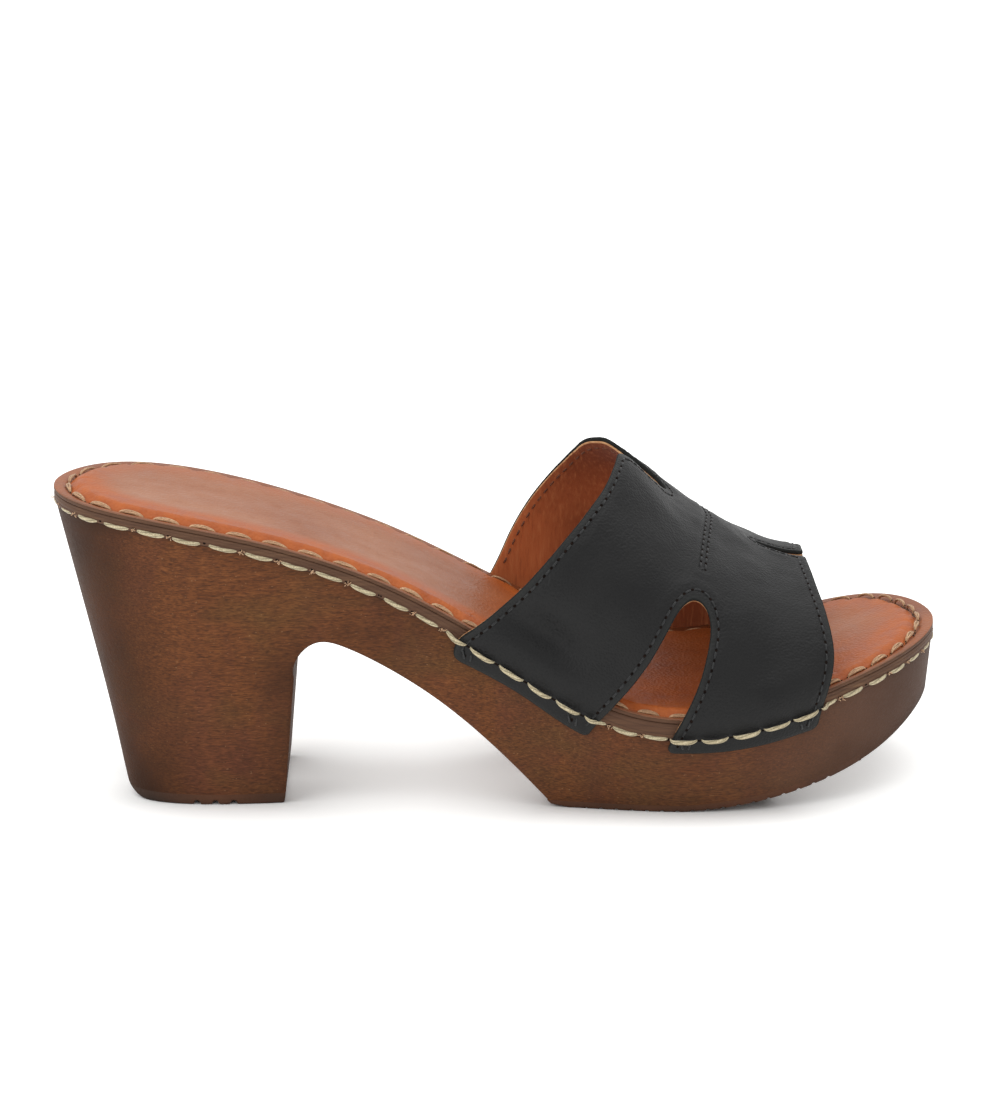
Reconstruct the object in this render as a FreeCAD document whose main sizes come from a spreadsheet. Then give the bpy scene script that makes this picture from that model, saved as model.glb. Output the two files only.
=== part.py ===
"""Right-foot wooden clog: a high block-heel mule with a stitched-on leather upper.

Lengths are in millimetres. +X runs from heel to toe, +Y from the outer (lateral) side of the foot
to the inner (medial) side, +Z up from the floor. The shapes are laid out with X = 0 at the middle
of the footbed's rim and Y = 0 on the heel's centre line; at the end every piece is moved by one
common Placement so that the origin is on the floor below the middle of the whole shoe.
"""
import FreeCAD, Part
import Sketcher
import math
import os

os.makedirs("parts", exist_ok=True)
doc = FreeCAD.newDocument("wooden_clog")

# ------------------------------------------------------------------ driving dimensions
DIMENSIONS = [
    ("shoe_length", 238.8),
    ("heel_seat_height", 85.1),
    ("ball_height", 28.1),
    ("toe_height", 41.8),
    ("cover_thickness", 1.3),
    ("cushion_crown", 1.5),
    ("cushion_inset", 6.2),
    ("band_height", 3.0),
    ("band_extra_at_ball", 2.2),
    ("band_proud", 0.35),
    ("heel_tip_thickness", 3.0),
    ("heel_back_x", -99.6),
    ("heel_breast_x", -57.5),
    ("heel_corner_radius", 6.0),
    ("heel_tip_half_width", 32.0),
    ("heel_groove_width", 1.6),
    ("heel_groove_depth", 1.1),
    ("heel_groove_pitch", 5.0),
    ("heel_groove_first_x", -80.5),
    ("outsole_thickness", 2.0),
    ("outsole_front_x", 98.0),
    ("outsole_groove_width", 0.8),
    ("outsole_groove_pitch", 4.1),
    ("outsole_groove_first_x", 28.0),
    ("outer_leather", 1.2),
    ("lining_leather", 0.7),
    ("upper_clearance", 0.6),
    ("rim_stitch_pitch", 8.5),
    ("rim_stitch_gap", 1.7),
    ("rim_thread_radius", 0.55),
    ("edge_stitch_pitch", 2.9),
    ("edge_stitch_gap", 1.0),
    ("edge_thread_radius", 0.28),
    ("edge_stitch_inset", 1.8),
    ("instep_row_spacing", 1.35),
]
sheet = doc.addObject("Spreadsheet::Sheet", "dimensions")
for row, (alias, value) in enumerate(DIMENSIONS, start=1):
    sheet.set(f"A{row}", alias)
    sheet.set(f"B{row}", str(value))
    sheet.setAlias(f"B{row}", alias)
doc.recompute()


def size(alias):
    """Value of one driving dimension."""
    return float(sheet.get(alias))


def vec(x, y, z=0.0):
    return FreeCAD.Vector(x, y, z)


# Cutting bodies reach this far to both sides of the heel's centre line, past the ends, and up.
ACROSS, PAST_ENDS, ABOVE_ALL = 90.0, 6.0, 150.0


# ------------------------------------------------------------------ curve helpers
class Graph:
    """Smooth curve through a few (x, value) points, read at any x and straight beyond its ends."""

    SAMPLES = 300

    def __init__(self, points):
        curve = Part.BSplineCurve()
        curve.interpolate([vec(x, value) for x, value in points])
        first, last = curve.FirstParameter, curve.LastParameter
        steps = [first + (last - first) * i / self.SAMPLES for i in range(self.SAMPLES + 1)]
        self.samples = [(curve.value(u).x, curve.value(u).y) for u in steps]

    def __call__(self, x):
        low, high = 0, len(self.samples) - 1
        while high - low > 1:
            middle = (low + high) // 2
            if self.samples[middle][0] <= x:
                low = middle
            else:
                high = middle
        (x0, y0), (x1, y1) = self.samples[low], self.samples[high]
        return y0 + (y1 - y0) * (x - x0) / (x1 - x0)


def bump(x, centre, width):
    """Bell shape of height 1 that fades out over about two widths."""
    return math.exp(-((x - centre) / width) ** 2)


def spline_edge(points):
    curve = Part.BSplineCurve()
    curve.interpolate(points)
    return curve.toShape()


def closed_face(spline_points, corner_points):
    """Face bounded by a spline through the first points and straight lines through the corners."""
    edges = [spline_edge(spline_points)]
    chain = [spline_points[-1]] + corner_points + [spline_points[0]]
    edges += [Part.LineSegment(a, b).toShape() for a, b in zip(chain, chain[1:])]
    return Part.Face(Part.Wire(edges))


# ------------------------------------------------------------------ outline of the footbed, seen from above
half_length = size("shoe_length") / 2
LATERAL_SIDE = [(-112, -19.5), (-92, -31), (-55, -31.5), (-12, -32), (22, -37.2), (50, -41),
                (85, -35), (108, -20)]
MEDIAL_SIDE = [(117.6, 27), (105, 46.5), (80, 53.3), (45, 47.5), (0, 35), (-40, 31),
               (-75, 32.5), (-104, 27.5), (-117, 11)]
rim_points = [(-half_length + 0.3, -1)] + LATERAL_SIDE + [(half_length, 1)] + MEDIAL_SIDE
rim_curve = Part.BSplineCurve()
rim_curve.interpolate([vec(x, y) for x, y in rim_points], PeriodicFlag=True)
rim_first, rim_last = rim_curve.FirstParameter, rim_curve.LastParameter


def rim_point(share):
    """Point of the rim outline; the share of the way round starts at the heel's back, lateral side first."""
    return rim_curve.value(rim_first + (rim_last - rim_first) * (share % 1.0))


def rim_normal(share):
    """Outward unit normal of the rim outline."""
    tangent = rim_curve.tangent(rim_first + (rim_last - rim_first) * (share % 1.0))[0]
    return vec(tangent.y, -tangent.x)


OUTLINE_POINTS = 60
outline_shares = [i / OUTLINE_POINTS for i in range(OUTLINE_POINTS)]
toe_share = max(outline_shares, key=lambda share: rim_point(share).x)
side_steps = [i / 200 for i in range(201)]
lateral_edge = Graph([(rim_point(s * toe_share).x, rim_point(s * toe_share).y)
                      for s in side_steps if 0.08 < s < 0.95])
medial_edge = Graph([(rim_point(1 - s * (1 - toe_share)).x, rim_point(1 - s * (1 - toe_share)).y)
                     for s in side_steps if 0.08 < s < 0.85])

# ------------------------------------------------------------------ heights, seen from the side
rim_height = Graph([(-half_length, size("heel_seat_height")), (-96, size("heel_seat_height") - 2.4),
                    (-72, 78.2), (-45, 70.2), (-30, 64.2), (-15, 56.6), (15, 39.4), (35, 30.3),
                    (52, size("ball_height")), (72, 29.9), (95, 35.8), (108, 39.2),
                    (half_length, size("toe_height"))])
# How far the wooden wall has drawn in, at floor level, from the rim's outline.
wall_inset = Graph([(-half_length, 19.2), (-112, 15), (-100, 11), (-85, 9.5), (-40, 9), (0, 8),
                    (50, 6.5), (90, 6), (half_length, 4)])
# Underside of the forefoot in front of the flat contact patch, which ends below the ball.
ROCKER = [(50, 0), (66, 1.7), (82, 5), (96, 9.6), (106, 14.4), (114, 19.6), (half_length + PAST_ENDS, 29)]
rocker_height = Graph(ROCKER)


def forefoot_underside(x):
    return 0.0 if x <= ROCKER[0][0] else rocker_height(x)


def band_height(x):
    """Height of the edge band, which is deepest beside the ball of the foot."""
    return size("band_height") + size("band_extra_at_ball") * bump(x, 28, 50)


def block_top(x):
    return rim_height(x) - size("cover_thickness") - band_height(x)


def height_strip(bottom, top):
    """Solid between two height functions, right across the shoe and past both of its ends."""
    reach, step = half_length + PAST_ENDS, 10
    count = int(2 * reach / step)
    stations = [-reach + 2 * reach * i / count for i in range(count + 1)]
    lower = [vec(x, -ACROSS, bottom(x)) for x in stations]
    upper = [vec(x, -ACROSS, top(x)) for x in reversed(stations)]
    edges = [spline_edge(lower), Part.LineSegment(lower[-1], upper[0]).toShape(), spline_edge(upper),
             Part.LineSegment(upper[-1], lower[0]).toShape()]
    return Part.Face(Part.Wire(edges)).extrude(vec(0, 2 * ACROSS, 0))


def outline_prism(inset):
    """Upright prism of the rim outline, drawn in by the given distance."""
    points = [rim_point(s) - rim_normal(s) * inset for s in outline_shares]
    curve = Part.BSplineCurve()
    curve.interpolate(points, PeriodicFlag=True)
    return Part.Face(Part.Wire(curve.toShape())).extrude(vec(0, 0, ABOVE_ALL))


# ------------------------------------------------------------------ wooden block and its soles
def wall_wire(level):
    """Outline of the slanting side wall at one level; it meets the band's outline at the block's top."""
    points = []
    for share in outline_shares:
        rim, normal = rim_point(share), rim_normal(share)
        lean = wall_inset(rim.x) * (1 - level / block_top(rim.x))
        point = rim - normal * (lean + size("band_proud"))
        points.append(vec(point.x, point.y, level))
    curve = Part.BSplineCurve()
    curve.interpolate(points, PeriodicFlag=True)
    return Part.Wire(curve.toShape())


def side_profile():
    """Heel, arch and forefoot seen from the side, with the heel's rounded back corner."""
    far = half_length + PAST_ENDS
    back, breast, corner = size("heel_back_x"), size("heel_breast_x"), size("heel_corner_radius")
    wall_slope = math.atan2(half_length + back, size("heel_seat_height"))
    tangent_length = corner / math.tan((math.pi / 2 + wall_slope) / 2)
    arc_start = vec(back + tangent_length, -ACROSS, 0)
    arc_end = arc_start + vec(-tangent_length * (1 + math.sin(wall_slope)), 0,
                              tangent_length * math.cos(wall_slope))
    arc_centre = vec(arc_start.x, -ACROSS, corner)
    middle_angle = -math.pi / 2 - (math.pi / 2 - wall_slope) / 2
    arc_middle = arc_centre + vec(corner * math.cos(middle_angle), 0, corner * math.sin(middle_angle))
    top_stations = [-far + 2 * far * i / 24 for i in range(25)]
    top = [vec(x, -ACROSS, block_top(x)) for x in reversed(top_stations)]
    arch = [(breast + 3.3, 36), (-52.6, 43), (-47.6, 46.6), (-40, 45), (-30, 39.8), (-17.4, 31.7),
            (1, 16.3), (14.6, 2.6), (17, 0)]
    arch_points = [vec(x, -ACROSS, z) for x, z in arch]
    forefoot = [vec(x, -ACROSS, z) for x, z in ROCKER]
    edges = [
        spline_edge(top),
        Part.LineSegment(top[-1], vec(-far, -ACROSS, arc_end.z)).toShape(),
        Part.LineSegment(vec(-far, -ACROSS, arc_end.z), arc_end).toShape(),
        Part.Arc(arc_end, arc_middle, arc_start).toShape(),
        Part.LineSegment(arc_start, vec(breast, -ACROSS, 0)).toShape(),
        Part.LineSegment(vec(breast, -ACROSS, 0), arch_points[0]).toShape(),
        spline_edge(arch_points),
        Part.LineSegment(arch_points[-1], forefoot[0]).toShape(),
        spline_edge(forefoot),
        Part.LineSegment(forefoot[-1], top[0]).toShape(),
    ]
    return Part.Face(Part.Wire(edges))


def sole_envelope():
    """Everything wooden or rubber below the band, in one solid."""
    walls = Part.makeLoft([wall_wire(-2), wall_wire(size("heel_seat_height") + 10)], True, True)
    return walls.common(side_profile().extrude(vec(0, 2 * ACROSS, 0)))


def outsole_layer():
    """Layer just above the forefoot's underside, from the arch to the rocker's front."""
    start, end, below, count = 2.0, size("outsole_front_x"), -5.0, 16
    stations = [start + (end - start) * i / count for i in range(count + 1)]
    upper = [vec(x, -ACROSS, forefoot_underside(x) + size("outsole_thickness")) for x in stations]
    layer = closed_face(upper, [vec(end, -ACROSS, below), vec(start, -ACROSS, below)])
    return layer.extrude(vec(0, 2 * ACROSS, 0))


def heel_layer():
    """Layer of the heel tip below the wooden heel."""
    back = -half_length - PAST_ENDS
    length = size("heel_breast_x") + 1 - back
    return Part.makeBox(length, 2 * ACROSS, size("heel_tip_thickness"), vec(back, -ACROSS, 0))


def add_feature(label, shape):
    """Document object that holds one sub-part's finished shape."""
    feature = doc.addObject("Part::Feature", label)
    feature.Shape = shape
    feature.Label = label
    return feature


def make_heel_tip(envelope):
    """Rubber top piece: a flat slab with three cross grooves, trimmed to the heel's own walls."""
    body = doc.addObject("PartDesign::Body", "heel_tip_slab")
    plane = [f for f in body.Origin.OriginFeatures if f.Role == "XY_Plane"][0]

    slab_sketch = body.newObject("Sketcher::SketchObject", "heel_tip_outline")
    slab_sketch.AttachmentSupport = [(plane, "")]
    slab_sketch.MapMode = "FlatFace"
    half_width = size("heel_tip_half_width")
    add_rectangle(slab_sketch, -half_length, -half_width, size("heel_breast_x"), half_width)
    slab_sketch.setExpression("Constraints.right", "dimensions.heel_breast_x")
    slab_sketch.setExpression("Constraints.top", "dimensions.heel_tip_half_width")
    pad = body.newObject("PartDesign::Pad", "heel_tip_pad")
    pad.Profile = slab_sketch
    pad.setExpression("Length", "dimensions.heel_tip_thickness")
    doc.recompute()

    groove_sketch = body.newObject("Sketcher::SketchObject", "heel_groove_outline")
    groove_sketch.AttachmentSupport = [(plane, "")]
    groove_sketch.MapMode = "FlatFace"
    first = size("heel_groove_first_x")
    add_rectangle(groove_sketch, first - size("heel_groove_width"), -half_width - 1, first, half_width + 1)
    groove_sketch.setExpression("Constraints.right", "dimensions.heel_groove_first_x")
    groove_sketch.setExpression("Constraints.left",
                                "dimensions.heel_groove_first_x - dimensions.heel_groove_width")
    groove = body.newObject("PartDesign::Pocket", "heel_groove")
    groove.Profile = groove_sketch
    groove.Reversed = True
    groove.setExpression("Length", "dimensions.heel_groove_depth")
    doc.recompute()

    pattern = body.newObject("PartDesign::LinearPattern", "heel_grooves")
    pattern.Originals = [groove]
    pattern.Direction = (groove_sketch, ["H_Axis"])
    pattern.Occurrences = 3
    pattern.setExpression("Length", "dimensions.heel_groove_pitch * 2")
    body.Tip = pattern
    doc.recompute()

    trim = add_feature("heel_tip_walls", envelope)
    tip = doc.addObject("Part::Common", "heel_tip")
    tip.Base = body
    tip.Tool = trim
    return tip


def add_rectangle(sketch, left, bottom, right, top):
    """Constrained rectangle whose four sides are distances from the sketch's origin."""
    corners = [vec(left, bottom), vec(right, bottom), vec(right, top), vec(left, top)]
    for a, b in zip(corners, corners[1:] + corners[:1]):
        sketch.addGeometry(Part.LineSegment(a, b), False)
    for i in range(4):
        sketch.addConstraint(Sketcher.Constraint("Coincident", i, 2, (i + 1) % 4, 1))
    for i in (0, 2):
        sketch.addConstraint(Sketcher.Constraint("Horizontal", i))
    for i in (1, 3):
        sketch.addConstraint(Sketcher.Constraint("Vertical", i))
    sides = [("left", "DistanceX", 0, 1, left), ("bottom", "DistanceY", 0, 1, bottom),
             ("right", "DistanceX", 2, 1, right), ("top", "DistanceY", 2, 1, top)]
    for name, kind, line, end, value in sides:
        index = sketch.addConstraint(Sketcher.Constraint(kind, -1, 1, line, end, value))
        sketch.renameConstraint(index, name)


def make_sole_block(envelope):
    return envelope.cut(heel_layer()).cut(outsole_layer())


def make_outsole(envelope):
    """Rubber sheet under the forefoot, cut across by shallow grip grooves."""
    behind_arch = Part.makeBox(ACROSS, 2 * ACROSS, ACROSS, vec(-ACROSS, -ACROSS, -ACROSS / 2))
    sheet_solid = envelope.common(outsole_layer()).cut(behind_arch)
    width, pitch = size("outsole_groove_width"), size("outsole_groove_pitch")
    depth, below = 0.8, 2.0
    x = size("outsole_groove_first_x")
    while x < size("outsole_front_x") - 3:
        corner = vec(x - width / 2, -ACROSS, forefoot_underside(x) - below)
        sheet_solid = sheet_solid.cut(Part.makeBox(width, 2 * ACROSS, depth + below, corner))
        x += pitch
    return sheet_solid


# ------------------------------------------------------------------ footbed
def make_edge_band():
    """Strip round the edge, between the wooden block and the footbed cover."""
    ring = outline_prism(0).cut(outline_prism(size("cushion_inset") - 0.1))
    return ring.common(height_strip(block_top, lambda x: rim_height(x) - size("cover_thickness")))


def make_cushion():
    """Foam pad that lies inside the band and crowns above the rim."""
    top = height_strip(block_top, lambda x: rim_height(x) + size("cushion_crown") - size("cover_thickness"))
    return outline_prism(size("cushion_inset")).common(top)


def make_cover():
    """Leather cover: a flat margin round the rim and a raised middle over the cushion."""
    def underside(x):
        return rim_height(x) - size("cover_thickness")

    margin = outline_prism(0).common(height_strip(underside, rim_height))
    raised = outline_prism(size("cushion_inset") - size("cover_thickness")).common(
        height_strip(underside, lambda x: rim_height(x) + size("cushion_crown")))
    return margin.fuse(raised).cut(make_cushion())


# ------------------------------------------------------------------ leather upper
crest_height = Graph([(-24, 124), (10, 106), (27, 95), (37, 86.8), (47, 77.2), (56, 70.6), (67, 64.1),
                      (76, 59.2), (86, 57.4), (100, 56.2)])
crest_side = Graph([(-24, 7), (36, 7), (60, 9), (83, 12), (100, 12.5)])
SQUARENESS = 0.95


def margin_depth(x):
    """How far the upper's sewn margin reaches down the side of the sole, below the rim."""
    return 9.0 + 2.6 * bump(x, 22, 14) + 1.6 * bump(x, -12, 14)


def foot_side(x, girth):
    """Point of the lining's foot side.

    girth runs from -1 at the lateral rim over the instep, 0, to +1 at the medial rim, and on to
    -2 and +2 at the lower edge of the margin that lies against the side of the sole.
    """
    side = -1 if girth < 0 else 1
    rim_y = (lateral_edge(x) if side < 0 else medial_edge(x)) + side * size("upper_clearance")
    rim_z = rim_height(x)
    if abs(girth) > 1:
        drop = (abs(girth) - 1) * margin_depth(x)
        return vec(x, rim_y - side * drop * wall_inset(x) / block_top(x), rim_z - drop)
    angle = (1 - abs(girth)) * math.pi / 2
    y = crest_side(x) + (rim_y - crest_side(x)) * math.cos(angle) ** SQUARENESS
    return vec(x, y, rim_z + (crest_height(x) - rim_z) * math.sin(angle) ** SQUARENESS)


def upper_point(x, girth, lift):
    """Point of the upper, lifted off the lining's foot side, square to the leather, in the plane of x."""
    along = foot_side(x + 0.5, girth) - foot_side(x - 0.5, girth)
    around = foot_side(x, girth + 0.02) - foot_side(x, girth - 0.02)
    normal = along.cross(around)
    normal.normalize()
    flat = vec(0, normal.y, normal.z)
    return foot_side(x, girth) + flat * (lift / (flat.Length ** 2))


HALF_GIRTHS = [0.15, 0.3, 0.45, 0.6, 0.75, 0.9, 1.1, 1.5, 2]
GIRTHS = [-g for g in reversed(HALF_GIRTHS)] + [0] + HALF_GIRTHS
UPPER_BACK_X, UPPER_FRONT_X, UPPER_SECTIONS = -20.0, 100.0, 12


def leather_tube(lift_in, lift_out, margin_share):
    """Bent sheet between two lifts, right across the foot, before its edges are cut to shape."""
    sections = []
    for i in range(UPPER_SECTIONS):
        x = UPPER_BACK_X + (UPPER_FRONT_X - UPPER_BACK_X) * i / (UPPER_SECTIONS - 1)
        girths = [g if abs(g) < 1.4 else math.copysign(1 + (abs(g) - 1) * margin_share, g) for g in GIRTHS]
        inside = [upper_point(x, g, lift_in) for g in girths]
        outside = [upper_point(x, g, lift_out) for g in girths]
        sections.append(Part.Wire([
            spline_edge(outside),
            Part.LineSegment(outside[-1], inside[-1]).toShape(),
            spline_edge(list(reversed(inside))),
            Part.LineSegment(inside[0], outside[0]).toShape(),
        ]))
    return Part.makeLoft(sections, True, False)


# Edges of the upper seen from the side. The rear edge differs between the two sides of the foot.
REAR_EDGE_LATERAL = [(-12.5, 34), (-11.2, 40.5), (-10.9, 45), (-9.8, 48.2), (-6.8, 51), (1, 57),
                     (13.7, 69.5), (24.3, 80.6), (34.5, 91), (44.5, 102)]
REAR_EDGE_MEDIAL = [(-6.5, 34), (-5.2, 39), (-3.4, 43.5), (0.6, 51), (3.9, 58.2), (10.2, 69.5),
                    (18.3, 80), (25.4, 88), (34, 97), (45, 109)]
FRONT_EDGE = [(84.3, 12), (85.4, 22), (86.5, 28), (89.3, 37.3), (90.3, 43.5), (89.2, 51.5), (86.6, 59),
              (83.2, 66), (79, 75)]
CUTOUT_LATERAL = [(22, 8), (24.6, 23.5), (28.4, 28.8), (35.4, 37), (42, 46), (46.4, 53.2), (49.8, 57.4),
                  (52.8, 58.6), (55.9, 57), (57.6, 53.2), (57, 47), (54.2, 37.6), (50.2, 28.9), (46.9, 22),
                  (44.5, 8)]
# The medial cutout has the same outline, further back.
MEDIAL_CUTOUT_SHIFT = -8.0
CUTOUT_MEDIAL = [(x + MEDIAL_CUTOUT_SHIFT, z) for x, z in CUTOUT_LATERAL]
# Notches at the middle of the instep, seen from above.
REAR_NOTCH = [(24, -4.5), (31, -1.8), (37, 1.2), (43, 4), (46.5, 6.2), (47.2, 8.8), (45, 12.4), (38, 17),
              (31, 20), (24, 22)]
FRONT_NOTCH = [(95, 8.7), (84, 9), (77, 9.5), (73.2, 10.3), (71.4, 11.8), (73, 13.5), (77, 14.5), (84, 15.2),
               (95, 15.4)]
NOTCH_FLOOR_Z, NOTCH_MIDDLE_Y = 55.0, 8.0
# The side cutouts are cut from outside up to these y, short of the instep's middle.
CUTOUT_REACH_LATERAL, CUTOUT_REACH_MEDIAL = -8.0, 18.0
# The front edge lies further back on the medial side, by this much for each unit across the shoe.
FRONT_SKEW = -0.04
REFERENCE_Y = -33.0


def side_cutter(outline, corners, skew, y_from, y_to):
    """Prism across the shoe from a side-view outline, which slides along X by skew for each unit of Y."""
    def place(x, z):
        return vec(x + skew * (y_from - REFERENCE_Y), y_from, z)

    face = closed_face([place(x, z) for x, z in outline], [place(x, z) for x, z in corners])
    return face.extrude(vec(skew * (y_to - y_from), y_to - y_from, 0))


def upright_cutter(outline):
    face = closed_face([vec(x, y, NOTCH_FLOOR_Z) for x, y in outline], [])
    return face.extrude(vec(0, 0, ABOVE_ALL - NOTCH_FLOOR_Z))


def trim_upper(sheet_solid):
    """The upper's real edges: rear edge, front edge, one keyhole at each side and two instep notches."""
    behind, ahead = -half_length, half_length
    rear_low, rear_top = REAR_EDGE_LATERAL[0][1], REAR_EDGE_LATERAL[-1][0]
    rear_corners = [(rear_top, ABOVE_ALL), (behind, ABOVE_ALL), (behind, rear_low)]
    front_low, front_top = FRONT_EDGE[0][1], FRONT_EDGE[-1][0]
    front_corners = [(front_top, ABOVE_ALL), (ahead, ABOVE_ALL), (ahead, front_low)]
    cutters = [
        side_cutter(REAR_EDGE_LATERAL, rear_corners, 0, -ACROSS, NOTCH_MIDDLE_Y),
        side_cutter(REAR_EDGE_MEDIAL, rear_corners, 0, NOTCH_MIDDLE_Y, ACROSS),
        side_cutter(FRONT_EDGE, front_corners, FRONT_SKEW, -ACROSS, ACROSS),
        side_cutter(CUTOUT_LATERAL, [], 0, -ACROSS, CUTOUT_REACH_LATERAL),
        side_cutter(CUTOUT_MEDIAL, [], 0, CUTOUT_REACH_MEDIAL, ACROSS),
        upright_cutter(REAR_NOTCH),
        upright_cutter(FRONT_NOTCH),
    ]
    for cutter in cutters:
        sheet_solid = sheet_solid.cut(cutter)
    return sheet_solid


# ------------------------------------------------------------------ stitches
def dash(start, end, radius):
    """One visible stitch: a short round bar."""
    return Part.makeCylinder(radius, (end - start).Length, start, end - start)


def dashes_along(points, pitch, gap, radius):
    """Stitches evenly spaced along a chain of points."""
    lengths = [0.0]
    for a, b in zip(points, points[1:]):
        lengths.append(lengths[-1] + (b - a).Length)

    def at(distance):
        for i in range(1, len(points)):
            if lengths[i] >= distance:
                share = (distance - lengths[i - 1]) / (lengths[i] - lengths[i - 1])
                return points[i - 1] + (points[i] - points[i - 1]) * share
        return points[-1]

    count = max(1, round(lengths[-1] / pitch))
    step = lengths[-1] / count
    return [dash(at(i * step + gap / 2), at((i + 1) * step - gap / 2), radius) for i in range(count)]


# Where the upper's legs cover the side of the sole, from X to X.
LATERAL_LEGS = [(-10, 25), (46, 86)]
MEDIAL_LEGS = [(-3, 20), (38, 82.5)]


def under_leg(point):
    """True where one of the upper's four legs covers the side of the sole."""
    return any(start < point.x < end for start, end in (LATERAL_LEGS if point.y < 0 else MEDIAL_LEGS))


def rim_stitch_line(outward, drop):
    """Closed chain of points along the rim, outside it by a distance and below it by a height."""
    points, count = [], 240
    for i in range(count + 1):
        rim, normal = rim_point(i / count), rim_normal(i / count)
        point = rim + normal * outward(rim)
        points.append(vec(point.x, point.y, rim_height(rim.x) - drop(rim.x)))
    return points


SIDE_ROW_ABOVE_BLOCK = 0.7
# The top row lies this far inside the rim, and nearer to it on the lateral side.
TOP_ROW_INSET, LATERAL_TOP_ROW_INSET, LATERAL_ROW_Y = 4.2, 2.4, -28.0


def make_side_stitches():
    """Heavy lower row: along the side of the rim, and over the leather where a leg covers it."""
    radius = size("rim_thread_radius")
    leather = size("upper_clearance") + size("outer_leather") + size("lining_leather") + 0.15

    def outward(rim):
        return radius + (leather if under_leg(rim) else 0)

    def drop(x):
        return size("cover_thickness") + band_height(x) - SIDE_ROW_ABOVE_BLOCK

    line = rim_stitch_line(outward, drop)
    return dashes_along(line, size("rim_stitch_pitch"), size("rim_stitch_gap"), radius)


def make_top_stitches():
    """Upper row of the same seam, on the footbed's flat margin."""
    radius = size("rim_thread_radius") * 0.8

    def inward(rim):
        share = min(max(rim.y / LATERAL_ROW_Y, 0), 1)
        return -(TOP_ROW_INSET + (LATERAL_TOP_ROW_INSET - TOP_ROW_INSET) * share)

    line = rim_stitch_line(inward, lambda x: -radius - 0.05)
    return dashes_along(line, size("rim_stitch_pitch"), size("rim_stitch_gap"), radius)


def girth_at_height(x, z, side, lift):
    """Girth, on one side of the instep, where the upper reaches the given height."""
    low, high = 0.0, 2.0
    for _ in range(30):
        middle = (low + high) / 2
        if upper_point(x, side * middle, lift).z > z:
            low = middle
        else:
            high = middle
    return side * low


def girth_at_side(x, y, lift):
    """Girth where the upper, near the top of the instep, reaches the given y."""
    low, high = -0.9, 0.9
    for _ in range(30):
        middle = (low + high) / 2
        if upper_point(x, middle, lift).y < y:
            low = middle
        else:
            high = middle
    return low


LINE_STEPS = 160


def side_line_points(outline, inset, skew, side, lift, low_z, high_z):
    """A side-view edge, moved into the leather by inset and laid on one side of the upper."""
    curve = Part.BSplineCurve()
    curve.interpolate([vec(x, z) for x, z in outline])
    first, last = curve.FirstParameter, curve.LastParameter
    points = []
    for i in range(LINE_STEPS + 1):
        u = first + (last - first) * i / LINE_STEPS
        place, tangent = curve.value(u), curve.tangent(u)[0]
        x, z = place.x + tangent.y * inset, place.y - tangent.x * inset
        if not low_z < z < high_z:
            continue
        y = side * 30.0
        for _ in range(4):
            skewed_x = x + skew * (y - REFERENCE_Y)
            point = upper_point(skewed_x, girth_at_height(skewed_x, z, side, lift), lift)
            y = point.y
        points.append(point)
    return points


def notch_line_points(outline, inset, lift, x_from, x_to):
    """A notch's edge, moved into the leather by inset and laid on the top of the upper."""
    curve = Part.BSplineCurve()
    curve.interpolate([vec(x, y) for x, y in outline])
    first, last = curve.FirstParameter, curve.LastParameter
    points = []
    for i in range(LINE_STEPS + 1):
        u = first + (last - first) * i / LINE_STEPS
        place, tangent = curve.value(u), curve.tangent(u)[0]
        x, y = place.x + tangent.y * inset, place.y - tangent.x * inset
        if x_from < x < x_to:
            points.append(upper_point(x, girth_at_side(x, y, lift), lift))
    return points


def edge_stitches(lines):
    """Fine stitches along several lines."""
    pitch, gap, radius = size("edge_stitch_pitch"), size("edge_stitch_gap"), size("edge_thread_radius")
    return [stitch for line in lines for stitch in dashes_along(line, pitch, gap, radius)]


outside_lift = size("outer_leather") + size("lining_leather") + size("edge_thread_radius") + 0.05
inside_lift = -size("edge_thread_radius") - 0.05
stitch_inset = size("edge_stitch_inset")
# Heights between which the edge stitches run, and the X where they turn round the notches.
REAR_ROW_LATERAL_Z, REAR_ROW_MEDIAL_Z, REAR_NOTCH_ROW_X = (45, 87.5), (43, 87.5), (37, 60)
FRONT_ROW_Z, FRONT_NOTCH_ROW_X, CUTOUT_ROW_Z = (25, 60), (60, 80), (23, 62)


def rear_stitches(lift):
    return edge_stitches([
        side_line_points(REAR_EDGE_LATERAL, stitch_inset, 0, -1, lift, *REAR_ROW_LATERAL_Z),
        notch_line_points(REAR_NOTCH, stitch_inset, lift, *REAR_NOTCH_ROW_X),
        side_line_points(REAR_EDGE_MEDIAL, stitch_inset, 0, 1, lift, *REAR_ROW_MEDIAL_Z),
    ])


def front_stitches(lift):
    return edge_stitches([
        side_line_points(FRONT_EDGE, -stitch_inset, FRONT_SKEW, -1, lift, *FRONT_ROW_Z),
        notch_line_points(FRONT_NOTCH, -stitch_inset, lift, *FRONT_NOTCH_ROW_X),
        side_line_points(FRONT_EDGE, -stitch_inset, FRONT_SKEW, 1, lift, *FRONT_ROW_Z),
    ])


def cutout_stitches(outline, side, lift):
    return edge_stitches([side_line_points(outline, -stitch_inset, 0, side, lift, *CUTOUT_ROW_Z)])


INSTEP_ROW_X, INSTEP_ROW_END, INSTEP_ROW_TILT, INSTEP_ROW_STEPS = 59.0, 0.40, -8.0, 40


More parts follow.
